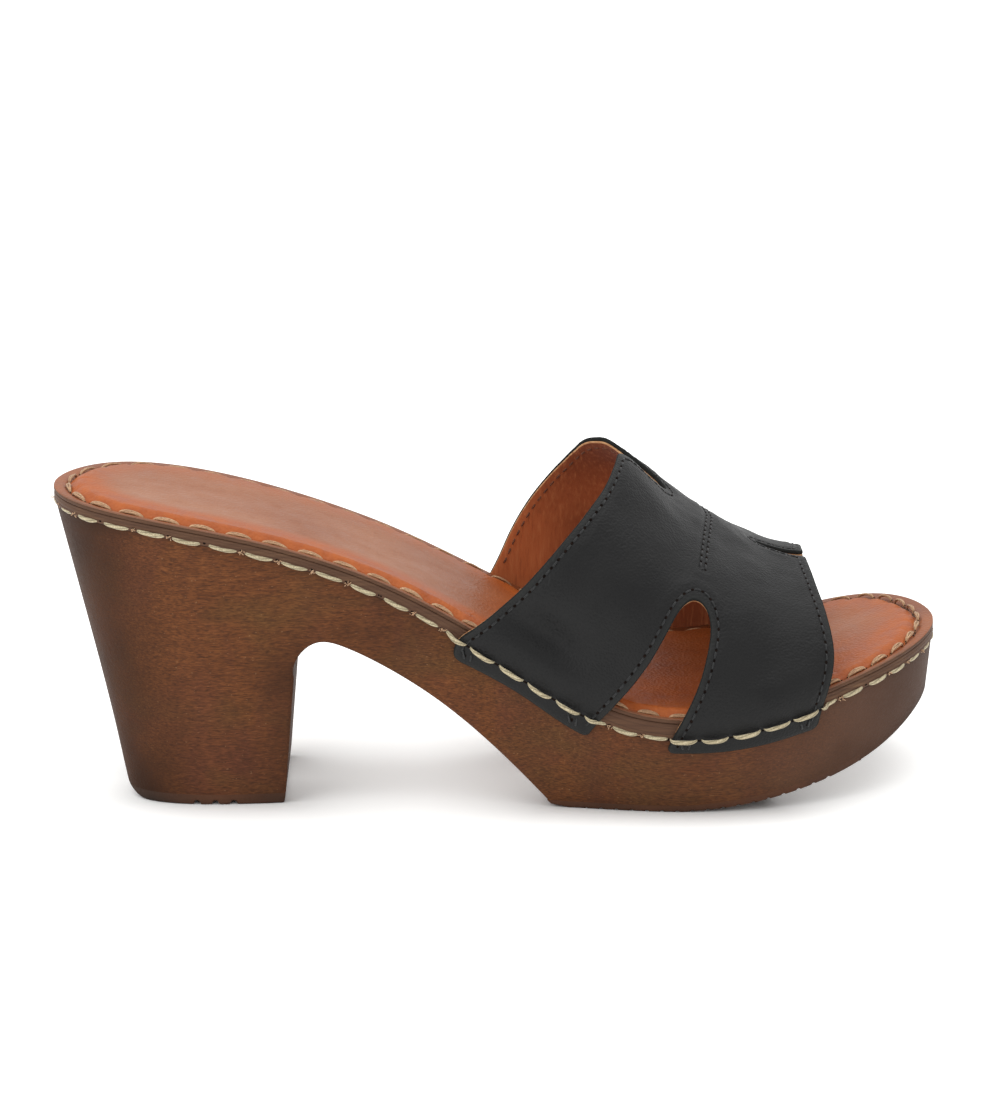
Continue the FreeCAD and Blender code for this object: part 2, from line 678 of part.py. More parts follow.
def instep_stitches(lift):
    """Decorative double row over the instep, closed at both ends above the side cutouts."""
    steps = [INSTEP_ROW_END * (2 * i / INSTEP_ROW_STEPS - 1) for i in range(INSTEP_ROW_STEPS + 1)]
    rows = []
    for shift in (-size("instep_row_spacing") / 2, size("instep_row_spacing") / 2):
        rows.append([upper_point(INSTEP_ROW_X + shift + INSTEP_ROW_TILT * abs(g), g, lift) for g in steps])
    closing = [dash(rows[0][end], rows[1][end], size("edge_thread_radius")) for end in (0, -1)]
    return edge_stitches(rows) + closing


# Middles of the margins' corners, along X, and how far down the margin the tacks lie.
LATERAL_TACK_X, MEDIAL_TACK_X = (-7.5, 20.5, 50.5, 82.5), (0.0, 15.5, 42.5, 79.0)
TACK_GIRTH, TACK_GIRTH_LENGTH, TACK_HALF_SPACING = 1.82, 0.17, 0.7


def tack_stitches(lift):
    """Back-tacked ends of the edge stitching, two short stitches side by side at each margin corner."""
    corners = [(x, -1) for x in LATERAL_TACK_X] + [(x, 1) for x in MEDIAL_TACK_X]
    tacks = []
    for x, side in corners:
        for shift in (-TACK_HALF_SPACING, TACK_HALF_SPACING):
            start = upper_point(x + shift, side * TACK_GIRTH, lift)
            end = upper_point(x + shift, side * (TACK_GIRTH - TACK_GIRTH_LENGTH), lift)
            tacks.append(dash(start, end, size("edge_thread_radius")))
    return tacks


# ------------------------------------------------------------------ the assembly
sole = sole_envelope()
heel_tip = make_heel_tip(sole)
LINING_MARGIN_SHARE, LEATHER_GAP = 0.85, 0.03
outer_from = size("lining_leather") + LEATHER_GAP
upper_outer = trim_upper(leather_tube(outer_from, outer_from + size("outer_leather"), 1.0))
upper_lining = trim_upper(leather_tube(0.0, size("lining_leather"), LINING_MARGIN_SHARE))
pieces = [
    add_feature("sole_block", make_sole_block(sole)),
    heel_tip,
    add_feature("forefoot_outsole", make_outsole(sole)),
    add_feature("edge_band", make_edge_band()),
    add_feature("footbed_cushion", make_cushion()),
    add_feature("footbed_cover", make_cover()),
    add_feature("upper_outer", upper_outer),
    add_feature("upper_lining", upper_lining),
    add_feature("rim_stitches_side", Part.Compound(make_side_stitches())),
    add_feature("rim_stitches_top", Part.Compound(make_top_stitches())),
    add_feature("rear_edge_stitches", Part.Compound(rear_stitches(outside_lift))),
    add_feature("front_edge_stitches", Part.Compound(front_stitches(outside_lift))),
    add_feature("cutout_stitches_lateral", Part.Compound(cutout_stitches(CUTOUT_LATERAL, -1, outside_lift))),
    add_feature("cutout_stitches_medial", Part.Compound(cutout_stitches(CUTOUT_MEDIAL, 1, outside_lift))),
    add_feature("instep_double_stitches", Part.Compound(instep_stitches(outside_lift))),
    add_feature("corner_tacks", Part.Compound(tack_stitches(outside_lift))),
    add_feature("lining_stitches_rear", Part.Compound(rear_stitches(inside_lift))),
    add_feature("lining_stitches_front", Part.Compound(front_stitches(inside_lift))),
]
doc.recompute()

whole = FreeCAD.BoundBox()
for piece in pieces:
    for point in piece.Shape.tessellate(0.1)[0]:
        whole.add(point)
to_origin = FreeCAD.Placement(vec(-whole.Center.x, -whole.Center.y, -whole.ZMin), FreeCAD.Rotation())
for piece in pieces:
    piece.Label = piece.Name
    piece.Placement = to_origin
doc.recompute()

for item in doc.Objects:
    if "Invalid" in item.State or "Error" in item.State:
        raise RuntimeError(f"{item.Name} failed: {item.State}")
for piece in pieces:
    if piece.Shape.isNull() or not piece.Shape.isValid():
        raise RuntimeError(f"{piece.Label} has no valid shape")
    if min(solid.Volume for solid in piece.Shape.Solids) <= 0:
        raise RuntimeError(f"{piece.Label} is inside out")
for piece in pieces:
    piece.Shape.exportStep(f"parts/{piece.Label}.step")
    print(f"{piece.Label:26s} solids {len(piece.Shape.Solids):3d}  volume {piece.Shape.Volume:10.1f}")
print("whole shoe", whole, "moved by", to_origin.Base)
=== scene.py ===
"""Looks for the wooden clog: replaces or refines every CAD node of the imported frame.

Lengths below are in millimetres in the shoe's layout frame: +X from heel to toe, +Y from the outer
(lateral) side to the inner (medial) side, +Z up, X = 0 at the middle of the rim and Y = 0 on the
heel's centre line. to_metres() turns them into the row frame that the CAD nodes use.
"""
import math
import random

import bmesh
import bpy
import numpy as np
from mathutils import Matrix, Vector, noise
from mathutils.geometry import delaunay_2d_cdt


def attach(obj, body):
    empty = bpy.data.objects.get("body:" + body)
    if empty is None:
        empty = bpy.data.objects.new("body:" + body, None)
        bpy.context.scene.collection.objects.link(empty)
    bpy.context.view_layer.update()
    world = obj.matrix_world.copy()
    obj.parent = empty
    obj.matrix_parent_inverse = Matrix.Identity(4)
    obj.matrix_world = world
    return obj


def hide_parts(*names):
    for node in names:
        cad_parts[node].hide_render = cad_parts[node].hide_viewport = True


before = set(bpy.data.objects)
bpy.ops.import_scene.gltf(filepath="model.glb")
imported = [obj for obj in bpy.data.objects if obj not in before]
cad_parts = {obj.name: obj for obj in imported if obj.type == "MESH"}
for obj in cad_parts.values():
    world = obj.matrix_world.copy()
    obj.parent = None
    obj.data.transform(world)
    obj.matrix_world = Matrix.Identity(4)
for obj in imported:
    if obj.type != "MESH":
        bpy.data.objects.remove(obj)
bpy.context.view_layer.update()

random.seed(7)
LAYOUT_TO_ROW = np.array([-0.654, -6.131, 0.0])
MM = 0.001

# ------------------------------------------------------------------ driving dimensions (mm)
HALF_LENGTH = 119.4
HEEL_SEAT_HEIGHT, BALL_HEIGHT, TOE_HEIGHT = 85.1, 28.1, 41.8
COVER_THICKNESS, CUSHION_CROWN = 1.3, 1.5
BAND_HEIGHT, BAND_EXTRA_AT_BALL, BAND_PROUD = 3.0, 2.2, 0.35
HEEL_TIP_THICKNESS, HEEL_BACK_X, HEEL_BREAST_X, HEEL_CORNER_RADIUS = 3.0, -99.6, -57.5, 6.0
HEEL_GROOVES_X, HEEL_GROOVE_WIDTH, HEEL_GROOVE_DEPTH = (-80.5, -75.5, -70.5), 1.6, 1.1
OUTSOLE_THICKNESS, OUTSOLE_FRONT_X, OUTSOLE_GROOVE_PITCH = 2.0, 98.0, 4.1
OUTER_LEATHER, LINING_LEATHER, UPPER_CLEARANCE = 1.2, 0.7, 0.6
OUTER_FROM = LINING_LEATHER + 0.03
RIM_STITCH_PITCH, HEEL_STITCH_PITCH, RIM_STITCH_GAP, RIM_THREAD_RADIUS = 8.5, 9.8, 1.7, 0.55
EDGE_STITCH_PITCH, EDGE_STITCH_GAP, EDGE_THREAD_RADIUS, EDGE_STITCH_INSET = 2.9, 1.0, 0.28, 1.8
TOP_STITCH_INSET = 4.7
RIM_SAMPLES, COVER_COLUMNS = 2400, 1120
COVER_INSETS = [0.0, 0.12, 0.35, 0.8, 1.5, 2.4, 3.2, 3.8, 4.2, 4.5, 4.7, 4.9, 5.2, 5.6, 6.1, 6.7, 7.4, 8.2,
                9.2, 10.4]
UP = np.array([0.0, 0.0, 1.0])


def to_metres(points):
    """Layout millimetres to the row frame's metres."""
    return (np.asarray(points, dtype=float) + LAYOUT_TO_ROW) * MM


def unit(vectors):
    """The same directions with length 1."""
    return vectors / np.linalg.norm(vectors, axis=-1, keepdims=True)


# ------------------------------------------------------------------ curves
class Spline:
    """Smooth curve of cubic pieces through points, open or closed, read by the share of its length."""

    def __init__(self, points, closed=False):
        p = np.array(points, dtype=float)
        if closed:
            p = np.vstack([p, p[:1]])
        self.points = p
        self.step = np.linalg.norm(np.diff(p, axis=0), axis=1)
        self.at = np.concatenate([[0.0], np.cumsum(self.step)])
        self.slopes = self._slopes(closed)

    def _slopes(self, closed):
        p, h, n = self.points, self.step, len(self.points)
        left, right = np.zeros((n, n)), np.zeros_like(p)
        for i in range(1, n - 1):
            left[i, i - 1], left[i, i], left[i, i + 1] = h[i], 2 * (h[i - 1] + h[i]), h[i - 1]
            right[i] = 3 * (h[i] * (p[i] - p[i - 1]) / h[i - 1] + h[i - 1] * (p[i + 1] - p[i]) / h[i])
        if closed:
            a, b = h[-1], h[0]
            left[0, n - 2], left[0, 0], left[0, 1] = b, 2 * (a + b), a
            right[0] = 3 * (b * (p[0] - p[-2]) / a + a * (p[1] - p[0]) / b)
            left[-1, 0], left[-1, -1] = -1, 1
        else:
            for row, pick in ((0, slice(0, 4)), (n - 1, slice(-4, None))):
                times, places = self.at[pick], p[pick]
                at = self.at[row]
                fit = [np.polyfit(times - at, places[:, k], len(times) - 1)[-2] for k in range(p.shape[1])]
                left[row, row], right[row] = 1, fit
        return np.linalg.solve(left, right)

    def _piece(self, share):
        """Place within a cubic piece, the piece's length, its two ends and the slopes there."""
        t = np.clip(np.atleast_1d(share).astype(float), 0, 1) * self.at[-1]
        i = np.clip(np.searchsorted(self.at, t, side="right") - 1, 0, len(self.step) - 1)
        u = (t - self.at[i]) / self.step[i]
        return (u[:, None], self.step[i][:, None], self.points[i], self.points[i + 1],
                self.slopes[i], self.slopes[i + 1])

    def value(self, share):
        u, h, a, b, ma, mb = self._piece(share)
        return ((2 * u**3 - 3 * u**2 + 1) * a + (u**3 - 2 * u**2 + u) * h * ma
                + (3 * u**2 - 2 * u**3) * b + (u**3 - u**2) * h * mb)

    def tangent(self, share):
        u, h, a, b, ma, mb = self._piece(share)
        return unit((6 * u**2 - 6 * u) * (a - b) / h + (3 * u**2 - 4 * u + 1) * ma + (3 * u**2 - 2 * u) * mb)


class Graph:
    """Smooth curve through (x, value) points, read at any x."""

    def __init__(self, points):
        samples = Spline(points).value(np.linspace(0, 1, 400))
        self.x, self.y = samples[:, 0], samples[:, 1]
        self.low_slope = (self.y[1] - self.y[0]) / (self.x[1] - self.x[0])
        self.high_slope = (self.y[-1] - self.y[-2]) / (self.x[-1] - self.x[-2])

    def __call__(self, x):
        x = np.asarray(x, dtype=float)
        inside = np.interp(x, self.x, self.y)
        inside = np.where(x < self.x[0], self.y[0] + (x - self.x[0]) * self.low_slope, inside)
        return np.where(x > self.x[-1], self.y[-1] + (x - self.x[-1]) * self.high_slope, inside)


def bump(x, centre, width):
    """Bell shape of height 1 that fades out over about two widths."""
    return np.exp(-((x - centre) / width) ** 2)


def smoothstep(x, low, high):
    """0 below low, 1 above high and a soft rise between."""
    t = np.clip((x - low) / (high - low), 0, 1)
    return t * t * (3 - 2 * t)


def window(x, start, end, soft=1.5):
    """1 from start to end, else 0, with soft sides."""
    return smoothstep(x, start - soft, start + soft) * (1 - smoothstep(x, end - soft, end + soft))


def chain_lengths(points):
    """Distance of each point from the start, along the chain."""
    return np.concatenate([[0], np.cumsum(np.linalg.norm(np.diff(points, axis=0), axis=1))])


def resample(points, pitch, closed=False):
    """The same chain of points, evenly spaced."""
    p = np.asarray(points, dtype=float)
    if closed:
        p = np.vstack([p, p[:1]])
    length = chain_lengths(p)
    count = max(2, int(round(length[-1] / pitch)))
    wanted = np.linspace(0, length[-1], count + 1)
    even = np.column_stack([np.interp(wanted, length, p[:, k]) for k in range(p.shape[1])])
    return even[:-1] if closed else even


# ------------------------------------------------------------------ the footbed's rim
LATERAL_SIDE = [(-112, -19.5), (-92, -31), (-55, -31.5), (-12, -32), (22, -37.2), (50, -41),
                (85, -35), (108, -20)]
MEDIAL_SIDE = [(117.6, 27), (105, 46.5), (80, 53.3), (45, 47.5), (0, 35), (-40, 31),
               (-75, 32.5), (-104, 27.5), (-117, 11)]
rim = Spline([(-HALF_LENGTH + 0.3, -1)] + LATERAL_SIDE + [(HALF_LENGTH, 1)] + MEDIAL_SIDE, closed=True)
rim_height = Graph([(-HALF_LENGTH, HEEL_SEAT_HEIGHT), (-96, HEEL_SEAT_HEIGHT - 2.4), (-72, 78.2),
                    (-45, 70.2), (-30, 64.2), (-15, 56.6), (15, 39.4), (35, 30.3), (52, BALL_HEIGHT),
                    (72, 29.9), (95, 35.8), (108, 39.2), (HALF_LENGTH, TOE_HEIGHT)])
wall_inset = Graph([(-HALF_LENGTH, 19.2), (-112, 15), (-100, 11), (-85, 9.5), (-40, 9), (0, 8),
                    (50, 6.5), (90, 6), (HALF_LENGTH, 4)])
ROCKER = [(50, 0), (66, 1.7), (82, 5), (96, 9.6), (106, 14.4), (114, 19.6), (HALF_LENGTH + 6, 29)]
ARCH = [(-54.2, 36), (-52.6, 43), (-47.6, 46.6), (-40, 45), (-30, 39.8), (-17.6, 31.7), (0.2, 16.3),
        (13.1, 2.6), (15.4, 0)]
rocker_height = Graph(ROCKER)


def rim_points(count):
    """Evenly spaced (along the spline's own measure) points, outward normals and shares of the rim."""
    shares = np.arange(count) / count
    tangent = rim.tangent(shares)
    return rim.value(shares), np.column_stack([tangent[:, 1], -tangent[:, 0]]), shares


def forefoot_underside(x):
    """Height of the forefoot's underside: flat, then the toe's rocker."""
    return np.where(np.asarray(x) <= ROCKER[0][0], 0.0, rocker_height(x))


def band_height(x):
    """The edge band is a little taller round the ball."""
    return BAND_HEIGHT + BAND_EXTRA_AT_BALL * bump(x, 28, 50)


def block_top(x):
    return rim_height(x) - COVER_THICKNESS - band_height(x)


WALL_SAMPLES = 1600
rim_xy, rim_out, _ = rim_points(WALL_SAMPLES)
wall_base = rim_xy - rim_out * (wall_inset(rim_xy[:, 0]) + BAND_PROUD)[:, None]
wall_lean = rim_out * (wall_inset(rim_xy[:, 0]) / block_top(rim_xy[:, 0]))[:, None]


def wall_y(x, z):
    """Y of the sole's slanting side wall at one (x, z), on the lateral and on the medial side."""
    level = wall_base + wall_lean * z
    back, front = int(np.argmin(level[:, 0])), int(np.argmax(level[:, 0]))
    lateral = level[np.arange(back, front + 1 + (WALL_SAMPLES if front < back else 0)) % WALL_SAMPLES]
    medial = level[np.arange(back + WALL_SAMPLES, front - 1, -1) % WALL_SAMPLES]
    return (np.interp(x, lateral[:, 0], lateral[:, 1]), np.interp(x, medial[:, 0], medial[:, 1]))


def wall_reach(z, end):
    """X of the wall's rearmost (end -1) or foremost (end +1) point at one level."""
    level = wall_base[:, 0] + wall_lean[:, 0] * z
    return level.min() if end < 0 else level.max()


rim_all = rim.value(np.linspace(0, 1, 1201))
toe_index = int(np.argmax(rim_all[:, 0]))
heel_index = int(np.argmin(rim_all[400:, 0])) + 400
lateral_half = rim_all[:toe_index + 1]
medial_half = rim_all[toe_index:heel_index + 1][::-1]


def lateral_edge(x):
    return np.interp(x, lateral_half[:, 0], lateral_half[:, 1])


def medial_edge(x):
    return np.interp(x, medial_half[:, 0], medial_half[:, 1])


# ------------------------------------------------------------------ mesh helpers
def grid_faces(rows, columns, closed=False, start=0):
    """Quads over rows of points; closed joins each row's last point to its first."""
    faces = []
    for r in range(rows - 1):
        for c in range(columns if closed else columns - 1):
            a, b = start + r * columns + c, start + r * columns + (c + 1) % columns
            faces.append((a, b, b + columns, a + columns))
    return faces


def make_piece(name, points, faces, materials, nodes, sharp=None, face_material=None, merge=0.0):
    """Mesh object from layout millimetres, riding on the shoe's one body."""
    mesh = bpy.data.meshes.new(name)
    mesh.from_pydata(to_metres(points).tolist(), [], [tuple(int(i) for i in f) for f in faces])
    for material in materials:
        mesh.materials.append(material)
    if face_material is not None:
        mesh.polygons.foreach_set("material_index", np.asarray(face_material, dtype=np.int32))
    mesh.polygons.foreach_set("use_smooth", np.ones(len(mesh.polygons), dtype=bool))
    if merge:
        work = bmesh.new()
        work.from_mesh(mesh)
        bmesh.ops.remove_doubles(work, verts=work.verts, dist=merge * MM)
        bmesh.ops.dissolve_degenerate(work, edges=work.edges, dist=merge * MM)
        bmesh.ops.recalc_face_normals(work, faces=work.faces)
        work.to_mesh(mesh)
        work.free()
    mesh.validate()
    mesh.update()
    if sharp is not None:
        mesh.set_sharp_from_angle(angle=math.radians(sharp))
    piece = bpy.data.objects.new(name, mesh)
    bpy.context.scene.collection.objects.link(piece)
    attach(piece, "root")
    if nodes:
        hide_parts(*nodes)
    return piece


def fractal(points, scale, octaves=3, seed=0.0):
    """Smooth noise between about -1 and 1 at layout points; scale is the size of its features in mm."""
    offset = Vector((seed * 17.3, seed * 5.1, seed * 9.7))
    return np.array([noise.fractal(Vector(p) / scale + offset, 1.0, 2.0, octaves) for p in points])


# ------------------------------------------------------------------ materials
def srgb(red, green, blue):
    """Linear colour from the usual 0 to 255 values."""
    shares = (red / 255, green / 255, blue / 255)
    return tuple(((c + 0.055) / 1.055) ** 2.4 if c > 0.04 else c / 12.92 for c in shares)


class Nodes:
    """Short way to write a procedural material; colours are given as sRGB 0 to 255, scales per metre."""

    def __init__(self, name):
        self.material = bpy.data.materials.new(name)
        self.material.use_nodes = True
        self.tree = self.material.node_tree
        self.shader = self.tree.nodes["Principled BSDF"]
        self.place = self.add("ShaderNodeTexCoord").outputs["Object"]

    def add(self, kind, **values):
        node = self.tree.nodes.new(kind)
        for key, value in values.items():
            setattr(node, key, value)
        return node

    def link(self, source, target):
        self.tree.links.new(source, target)

    def set(self, socket, value):
        if isinstance(value, bpy.types.NodeSocket):
            self.link(value, socket)
        else:
            socket.default_value = (*value, 1) if isinstance(value, tuple) else value

    def noise(self, scale, detail=3.0, rough=0.5, turn=(0, 0, 0), distortion=0.0):
        """Noise with one number of features per metre for all axes, or one for each."""
        mapping = self.add("ShaderNodeMapping")
        mapping.inputs["Scale"].default_value = scale if isinstance(scale, tuple) else (scale,) * 3
        mapping.inputs["Rotation"].default_value = turn
        self.link(self.place, mapping.inputs["Vector"])
        node = self.add("ShaderNodeTexNoise")
        settings = {"Scale": 1.0, "Detail": detail, "Roughness": rough, "Distortion": distortion}
        for key, value in settings.items():
            node.inputs[key].default_value = value
        self.link(mapping.outputs["Vector"], node.inputs["Vector"])
        return node.outputs["Fac"]

    def cells(self, scale):
        node = self.add("ShaderNodeTexVoronoi")
        node.inputs["Scale"].default_value = scale
        self.link(self.place, node.inputs["Vector"])
        return node.outputs["Distance"]

    def attribute(self, name):
        return self.add("ShaderNodeAttribute", attribute_name=name).outputs["Fac"]

    def ramp(self, source, *stops):
        """Maps a value to a colour through (place, colour) stops."""
        node = self.add("ShaderNodeValToRGB")
        elements = node.color_ramp.elements
        while len(elements) < len(stops):
            elements.new(0.5)
        for element, (place, colour) in zip(elements, stops):
            element.position = place
            element.color = (*srgb(*colour), 1)
        self.link(source, node.inputs["Fac"])
        return node.outputs["Color"]

    def grey(self, source, low, high, low_out=0.0, high_out=1.0):
        node = self.add("ShaderNodeMapRange")
        for key, value in (("From Min", low), ("From Max", high), ("To Min", low_out), ("To Max", high_out)):
            node.inputs[key].default_value = value
        self.link(source, node.inputs["Value"])
        return node.outputs["Result"]

    def mix(self, share, a, b):
        """Linear mix of two colours, each a socket or a linear colour."""
        node = self.add("ShaderNodeMix", data_type="RGBA")
        for key, value in (("Factor", share), ("A", a), ("B", b)):
            self.set([s for s in node.inputs if s.name == key and s.enabled][0], value)
        return [s for s in node.outputs if s.enabled][0]

    def paint(self, colour, *layers):
        """Puts (mask, colour) layers over a colour, one after another."""
        for mask, over in layers:
            colour = self.mix(mask, colour, srgb(*over) if isinstance(over, tuple) else over)
        return colour

    def bumps(self, *layers):
        """Chains (height, distance in mm) layers into one bumped normal."""
        normal = None
        for height, distance in layers:
            node = self.add("ShaderNodeBump")
            node.inputs["Distance"].default_value = distance * MM
            node.inputs["Strength"].default_value = 1.0
            self.link(height, node.inputs["Height"])
            if normal:
                self.link(normal, node.inputs["Normal"])
            normal = node.outputs["Normal"]
        self.link(normal, self.shader.inputs["Normal"])

    def finish(self, colour, roughness, specular, sheen=0.0):
        for key, value in (("Base Color", colour), ("Roughness", roughness), ("Specular IOR Level", specular),
                           ("Sheen Weight", sheen)):
            self.set(self.shader.inputs[key], value)
        return self.material


def wood_material():
    """Stained beech: dense fine streaks along the sole, dark pores, uneven olive and red stain, satin; a
    painted grey sheen towards the toe and painted shade from per-vertex values.
    """
    m = Nodes("stained_wood")
    streaks = m.noise((100, 1300, 1300), 6.0, 0.62, distortion=0.2)
    fine = m.noise((560, 3200, 3200), 3.0, 0.6)
    mottle = m.noise((60, 26, 22), 4.0, 0.55, distortion=0.6)
    olive = m.noise((30, 30, 46), 3.0, 0.6)
    pores = m.grey(m.noise((560, 3400, 3400), 1.0), 0.60, 0.72, 0.0, 0.5)
    dust = m.noise((1500, 2600, 2600), 0.0)
    colour = m.paint(
        m.ramp(streaks, (0.3, (92, 52, 28)), (0.5, (107, 63, 34)), (0.7, (121, 73, 41))),
        (m.grey(mottle, 0.45, 0.7, 0.0, 0.75), (92, 52, 38)),
        (m.grey(olive, 0.5, 0.72, 0.0, 0.7), (92, 66, 35)),
        (m.grey(fine, 0.34, 0.6, 0.75, 0.0), (58, 35, 24)),
        (m.grey(fine, 0.6, 0.76, 0.0, 0.3), (134, 90, 60)),
        (pores, (34, 20, 13)),
        (m.grey(dust, 0.80, 0.83, 0.0, 0.3), (170, 130, 95)),
        # painted reflection: greyer towards the toe, standing in for the wood's grazing sheen
        (m.attribute("painted_sheen_grey"), (82, 60, 49)),
        # painted shade, with some stain, from the sole's per-vertex values
        (m.attribute("stain_wear_and_painted_shade"), (52, 32, 21)))
    m.bumps((streaks, 0.14), (fine, 0.10), (mottle, 0.5), (pores, -0.06))
    return m.finish(colour, m.grey(streaks, 0.2, 0.8, 0.5, 0.66), 0.08)


def band_material():
    """Brown edge strip: fine lines along the rim, greyer than the wood."""
    m = Nodes("band_brown")
    lines = m.noise((30, 300, 1500), 4.0, 0.6)
    colour = m.paint(
        m.ramp(lines, (0.25, (64, 43, 30)), (0.5, (86, 60, 43)), (0.78, (108, 80, 58))),
        (m.grey(m.noise((60, 60, 90)), 0.4, 0.62, 0.0, 0.6), (78, 52, 37)),
        # painted shade in the scored lines and at the strip's top and bottom edges
        (m.attribute("stain_wear_and_painted_shade"), (40, 26, 18)))
    m.bumps((lines, 0.2), (m.noise(900, 2.0), 0.05))
    return m.finish(colour, m.grey(lines, 0.2, 0.8, 0.5, 0.68), 0.2)


def rubber_material():
    """Brown rubber of the heel tip and outsole, moulded with a fine texture."""
    m = Nodes("rubber_brown")
    cloud = m.noise(40)
    speck = m.noise(1500, 2.0)
    colour = m.paint(
        m.ramp(cloud, (0.3, (78, 48, 31)), (0.7, (98, 61, 40))),
        (m.grey(m.noise((40, 900, 900)), 0.3, 0.7, 0.35, 0.0), (54, 34, 24)),
        # painted shade, darker lower edges and stain from the sole's per-vertex values
        (m.attribute("stain_wear_and_painted_shade"), (44, 32, 25)))
    m.bumps((speck, 0.05), (cloud, 0.1))
    return m.finish(colour, m.grey(speck, 0.3, 0.7, 0.55, 0.75), 0.2)


def tan_leather_material():
    """Vegetable-tanned footbed leather: paler on the trodden top, more orange where it turns down."""
    m = Nodes("tan_leather")
    cloud = m.noise((22, 30, 30), 4.0, 0.55)
    small = m.noise(160, 3.0, 0.6)
    creases = m.noise((150, 210, 150), 4.0, 0.6, distortion=0.4)
    colour = m.paint(
        m.ramp(cloud, (0.3, (138, 85, 57)), (0.55, (150, 97, 68)), (0.75, (160, 109, 80))),
        (m.attribute("orange"), m.ramp(small, (0.3, (150, 72, 25)), (0.7, (172, 90, 35)))),
        (m.attribute("margin"), m.ramp(small, (0.3, (130, 74, 44)), (0.7, (152, 92, 58)))),
        (m.grey(creases, 0.62, 0.74, 0.0, 0.2), (122, 72, 48)),
        (m.attribute("shadowed"), (104, 54, 26)),
        (m.attribute("dyed"), (104, 72, 52)),
        (m.grey(small, 0.62, 0.8, 0.0, 0.3), (122, 70, 44)))
    m.bumps((m.cells(1100), 0.12), (small, 0.12), (creases, 0.06))
    return m.finish(colour, m.grey(small, 0.3, 0.7, 0.42, 0.56), 0.3)


def raw_edge_material(name, light, dark):
    """Cut edge of leather: pale, fibrous layers."""
    m = Nodes(name)
    layers = m.noise((260, 260, 2600), 3.0, 0.6)
    patches = m.grey(m.noise(120, 3.0, 0.6), 0.45, 0.65, 0.0, 0.5)
    m.bumps((layers, 0.12))
    return m.finish(m.paint(m.ramp(layers, (0.3, dark), (0.7, light)), (patches, dark)), 0.85, 0.2)


def black_leather_material():
    """Smooth black cow leather with a fine pebbled grain and a satin finish."""
    m = Nodes("black_leather")
    pebble = m.cells(1500)
    cloud = m.noise(45, 3.0, 0.55)
    colour = m.paint(
        m.ramp(cloud, (0.3, (13, 13, 14)), (0.7, (24, 24, 24))),
        (m.grey(pebble, 0.0, 0.5, 0.0, 0.4), (30, 30, 30)),
        (m.attribute("stain_wear_and_painted_shade"), (34, 35, 34)))
    m.bumps((pebble, 0.14), (m.noise(2300, 2.0, 0.55), 0.05), (m.noise(240, 4.0, 0.6, distortion=0.5), 0.12))
    return m.finish(colour, m.grey(cloud, 0.3, 0.7, 0.38, 0.52), 0.18)


def lining_material():
    """Brushed tan lining: soft nap with faint vertical streaks, darkened by painted shade towards the top and
    inside the shoe.
    """
    m = Nodes("lining_tan")
    streak = m.noise((1100, 1100, 110), 4.0, 0.65, turn=(0, 0.6, 0))
    fibre = m.noise((2200, 2200, 1200), 3.0, 0.6)
    colour = m.paint(
        m.ramp(m.noise((34, 34, 20)), (0.3, (166, 88, 48)), (0.7, (188, 106, 62))),
        # painted shade: darker towards the top and inside the shoe
        (m.attribute("stain_wear_and_painted_shade"), (118, 60, 34)),
        (m.grey(streak, 0.5, 0.72, 0.0, 0.4), (200, 128, 82)),
        (m.grey(streak, 0.25, 0.45, 0.5, 0.0), (108, 54, 28)))
    m.bumps((streak, 0.10), (fibre, 0.05))
    return m.finish(colour, m.grey(fibre, 0.3, 0.7, 0.66, 0.84), 0.2, sheen=0.08)


def thread_material(name, light, dark, roughness=0.6):
    """Twisted thread: uneven fibres, a little dirt, and painted shade between the strands."""
    m = Nodes(name)
    fibre = m.noise(2600, 3.0, 0.6)
    dirt = m.grey(m.noise(240, 2.0), 0.42, 0.7, 0.0, 0.45)
    colour = m.paint(m.ramp(fibre, (0.3, dark), (0.62, light)), (dirt, dark))
    # painted shade between the strands, from the per-vertex strand values
    colour = m.mix(m.attribute("strand"), colour, tuple(0.35 * c for c in srgb(*dark)))
    m.bumps((fibre, 0.05))
    return m.finish(colour, roughness, 0.35, sheen=0.1)


def hole_shade_material():
    # A needle hole's shade, painted as a dark patch.
    m = Nodes("needle_hole_painted_shade")
    return m.finish(m.ramp(m.noise(1500, 2.0), (0.3, (12, 9, 8)), (0.8, (34, 24, 19))), 0.95, 0.05)


def foam_material():
    m = Nodes("foam_cream")
    cell = m.cells(2200)
    m.bumps((cell, 0.2))
    return m.finish(m.ramp(cell, (0.1, (196, 176, 134)), (0.7, (226, 208, 168))), 0.9, 0.1)


WOOD = wood_material()
RUBBER = rubber_material()
BAND = band_material()
TAN = tan_leather_material()
TAN_RAW = raw_edge_material("tan_raw_edge", (176, 134, 96), (118, 70, 44))
BLACK = black_leather_material()
BLACK_RAW = raw_edge_material("black_raw_edge", (34, 36, 34), (16, 17, 17))
LINING = lining_material()
LINING_RAW = raw_edge_material("lining_raw_edge", (206, 164, 120), (140, 88, 54))
CREAM = thread_material("cream_thread", (196, 184, 152), (138, 124, 94))
BEIGE = thread_material("beige_thread", (198, 162, 124), (146, 104, 72))
BLACK_THREAD = thread_material("black_thread", (30, 31, 32), (10, 10, 11), 0.45)
TAN_THREAD = thread_material("tan_thread", (120, 72, 44), (70, 38, 24))
FUZZ = thread_material("fuzz_tan", (216, 182, 146), (178, 134, 100))
PAINTED_HOLE_SHADE = hole_shade_material()
FOAM = foam_material()


# ------------------------------------------------------------------ the block and its soles
def spread(count, dense_start=False, dense_end=False):
    """Shares 0 to 1, closer together towards a rounded end."""
    u = np.linspace(0, 1, count)
    if dense_start:
        return 1 - np.cos(u * math.pi / 2)
    if dense_end:
        return np.sin(u * math.pi / 2)
    return u


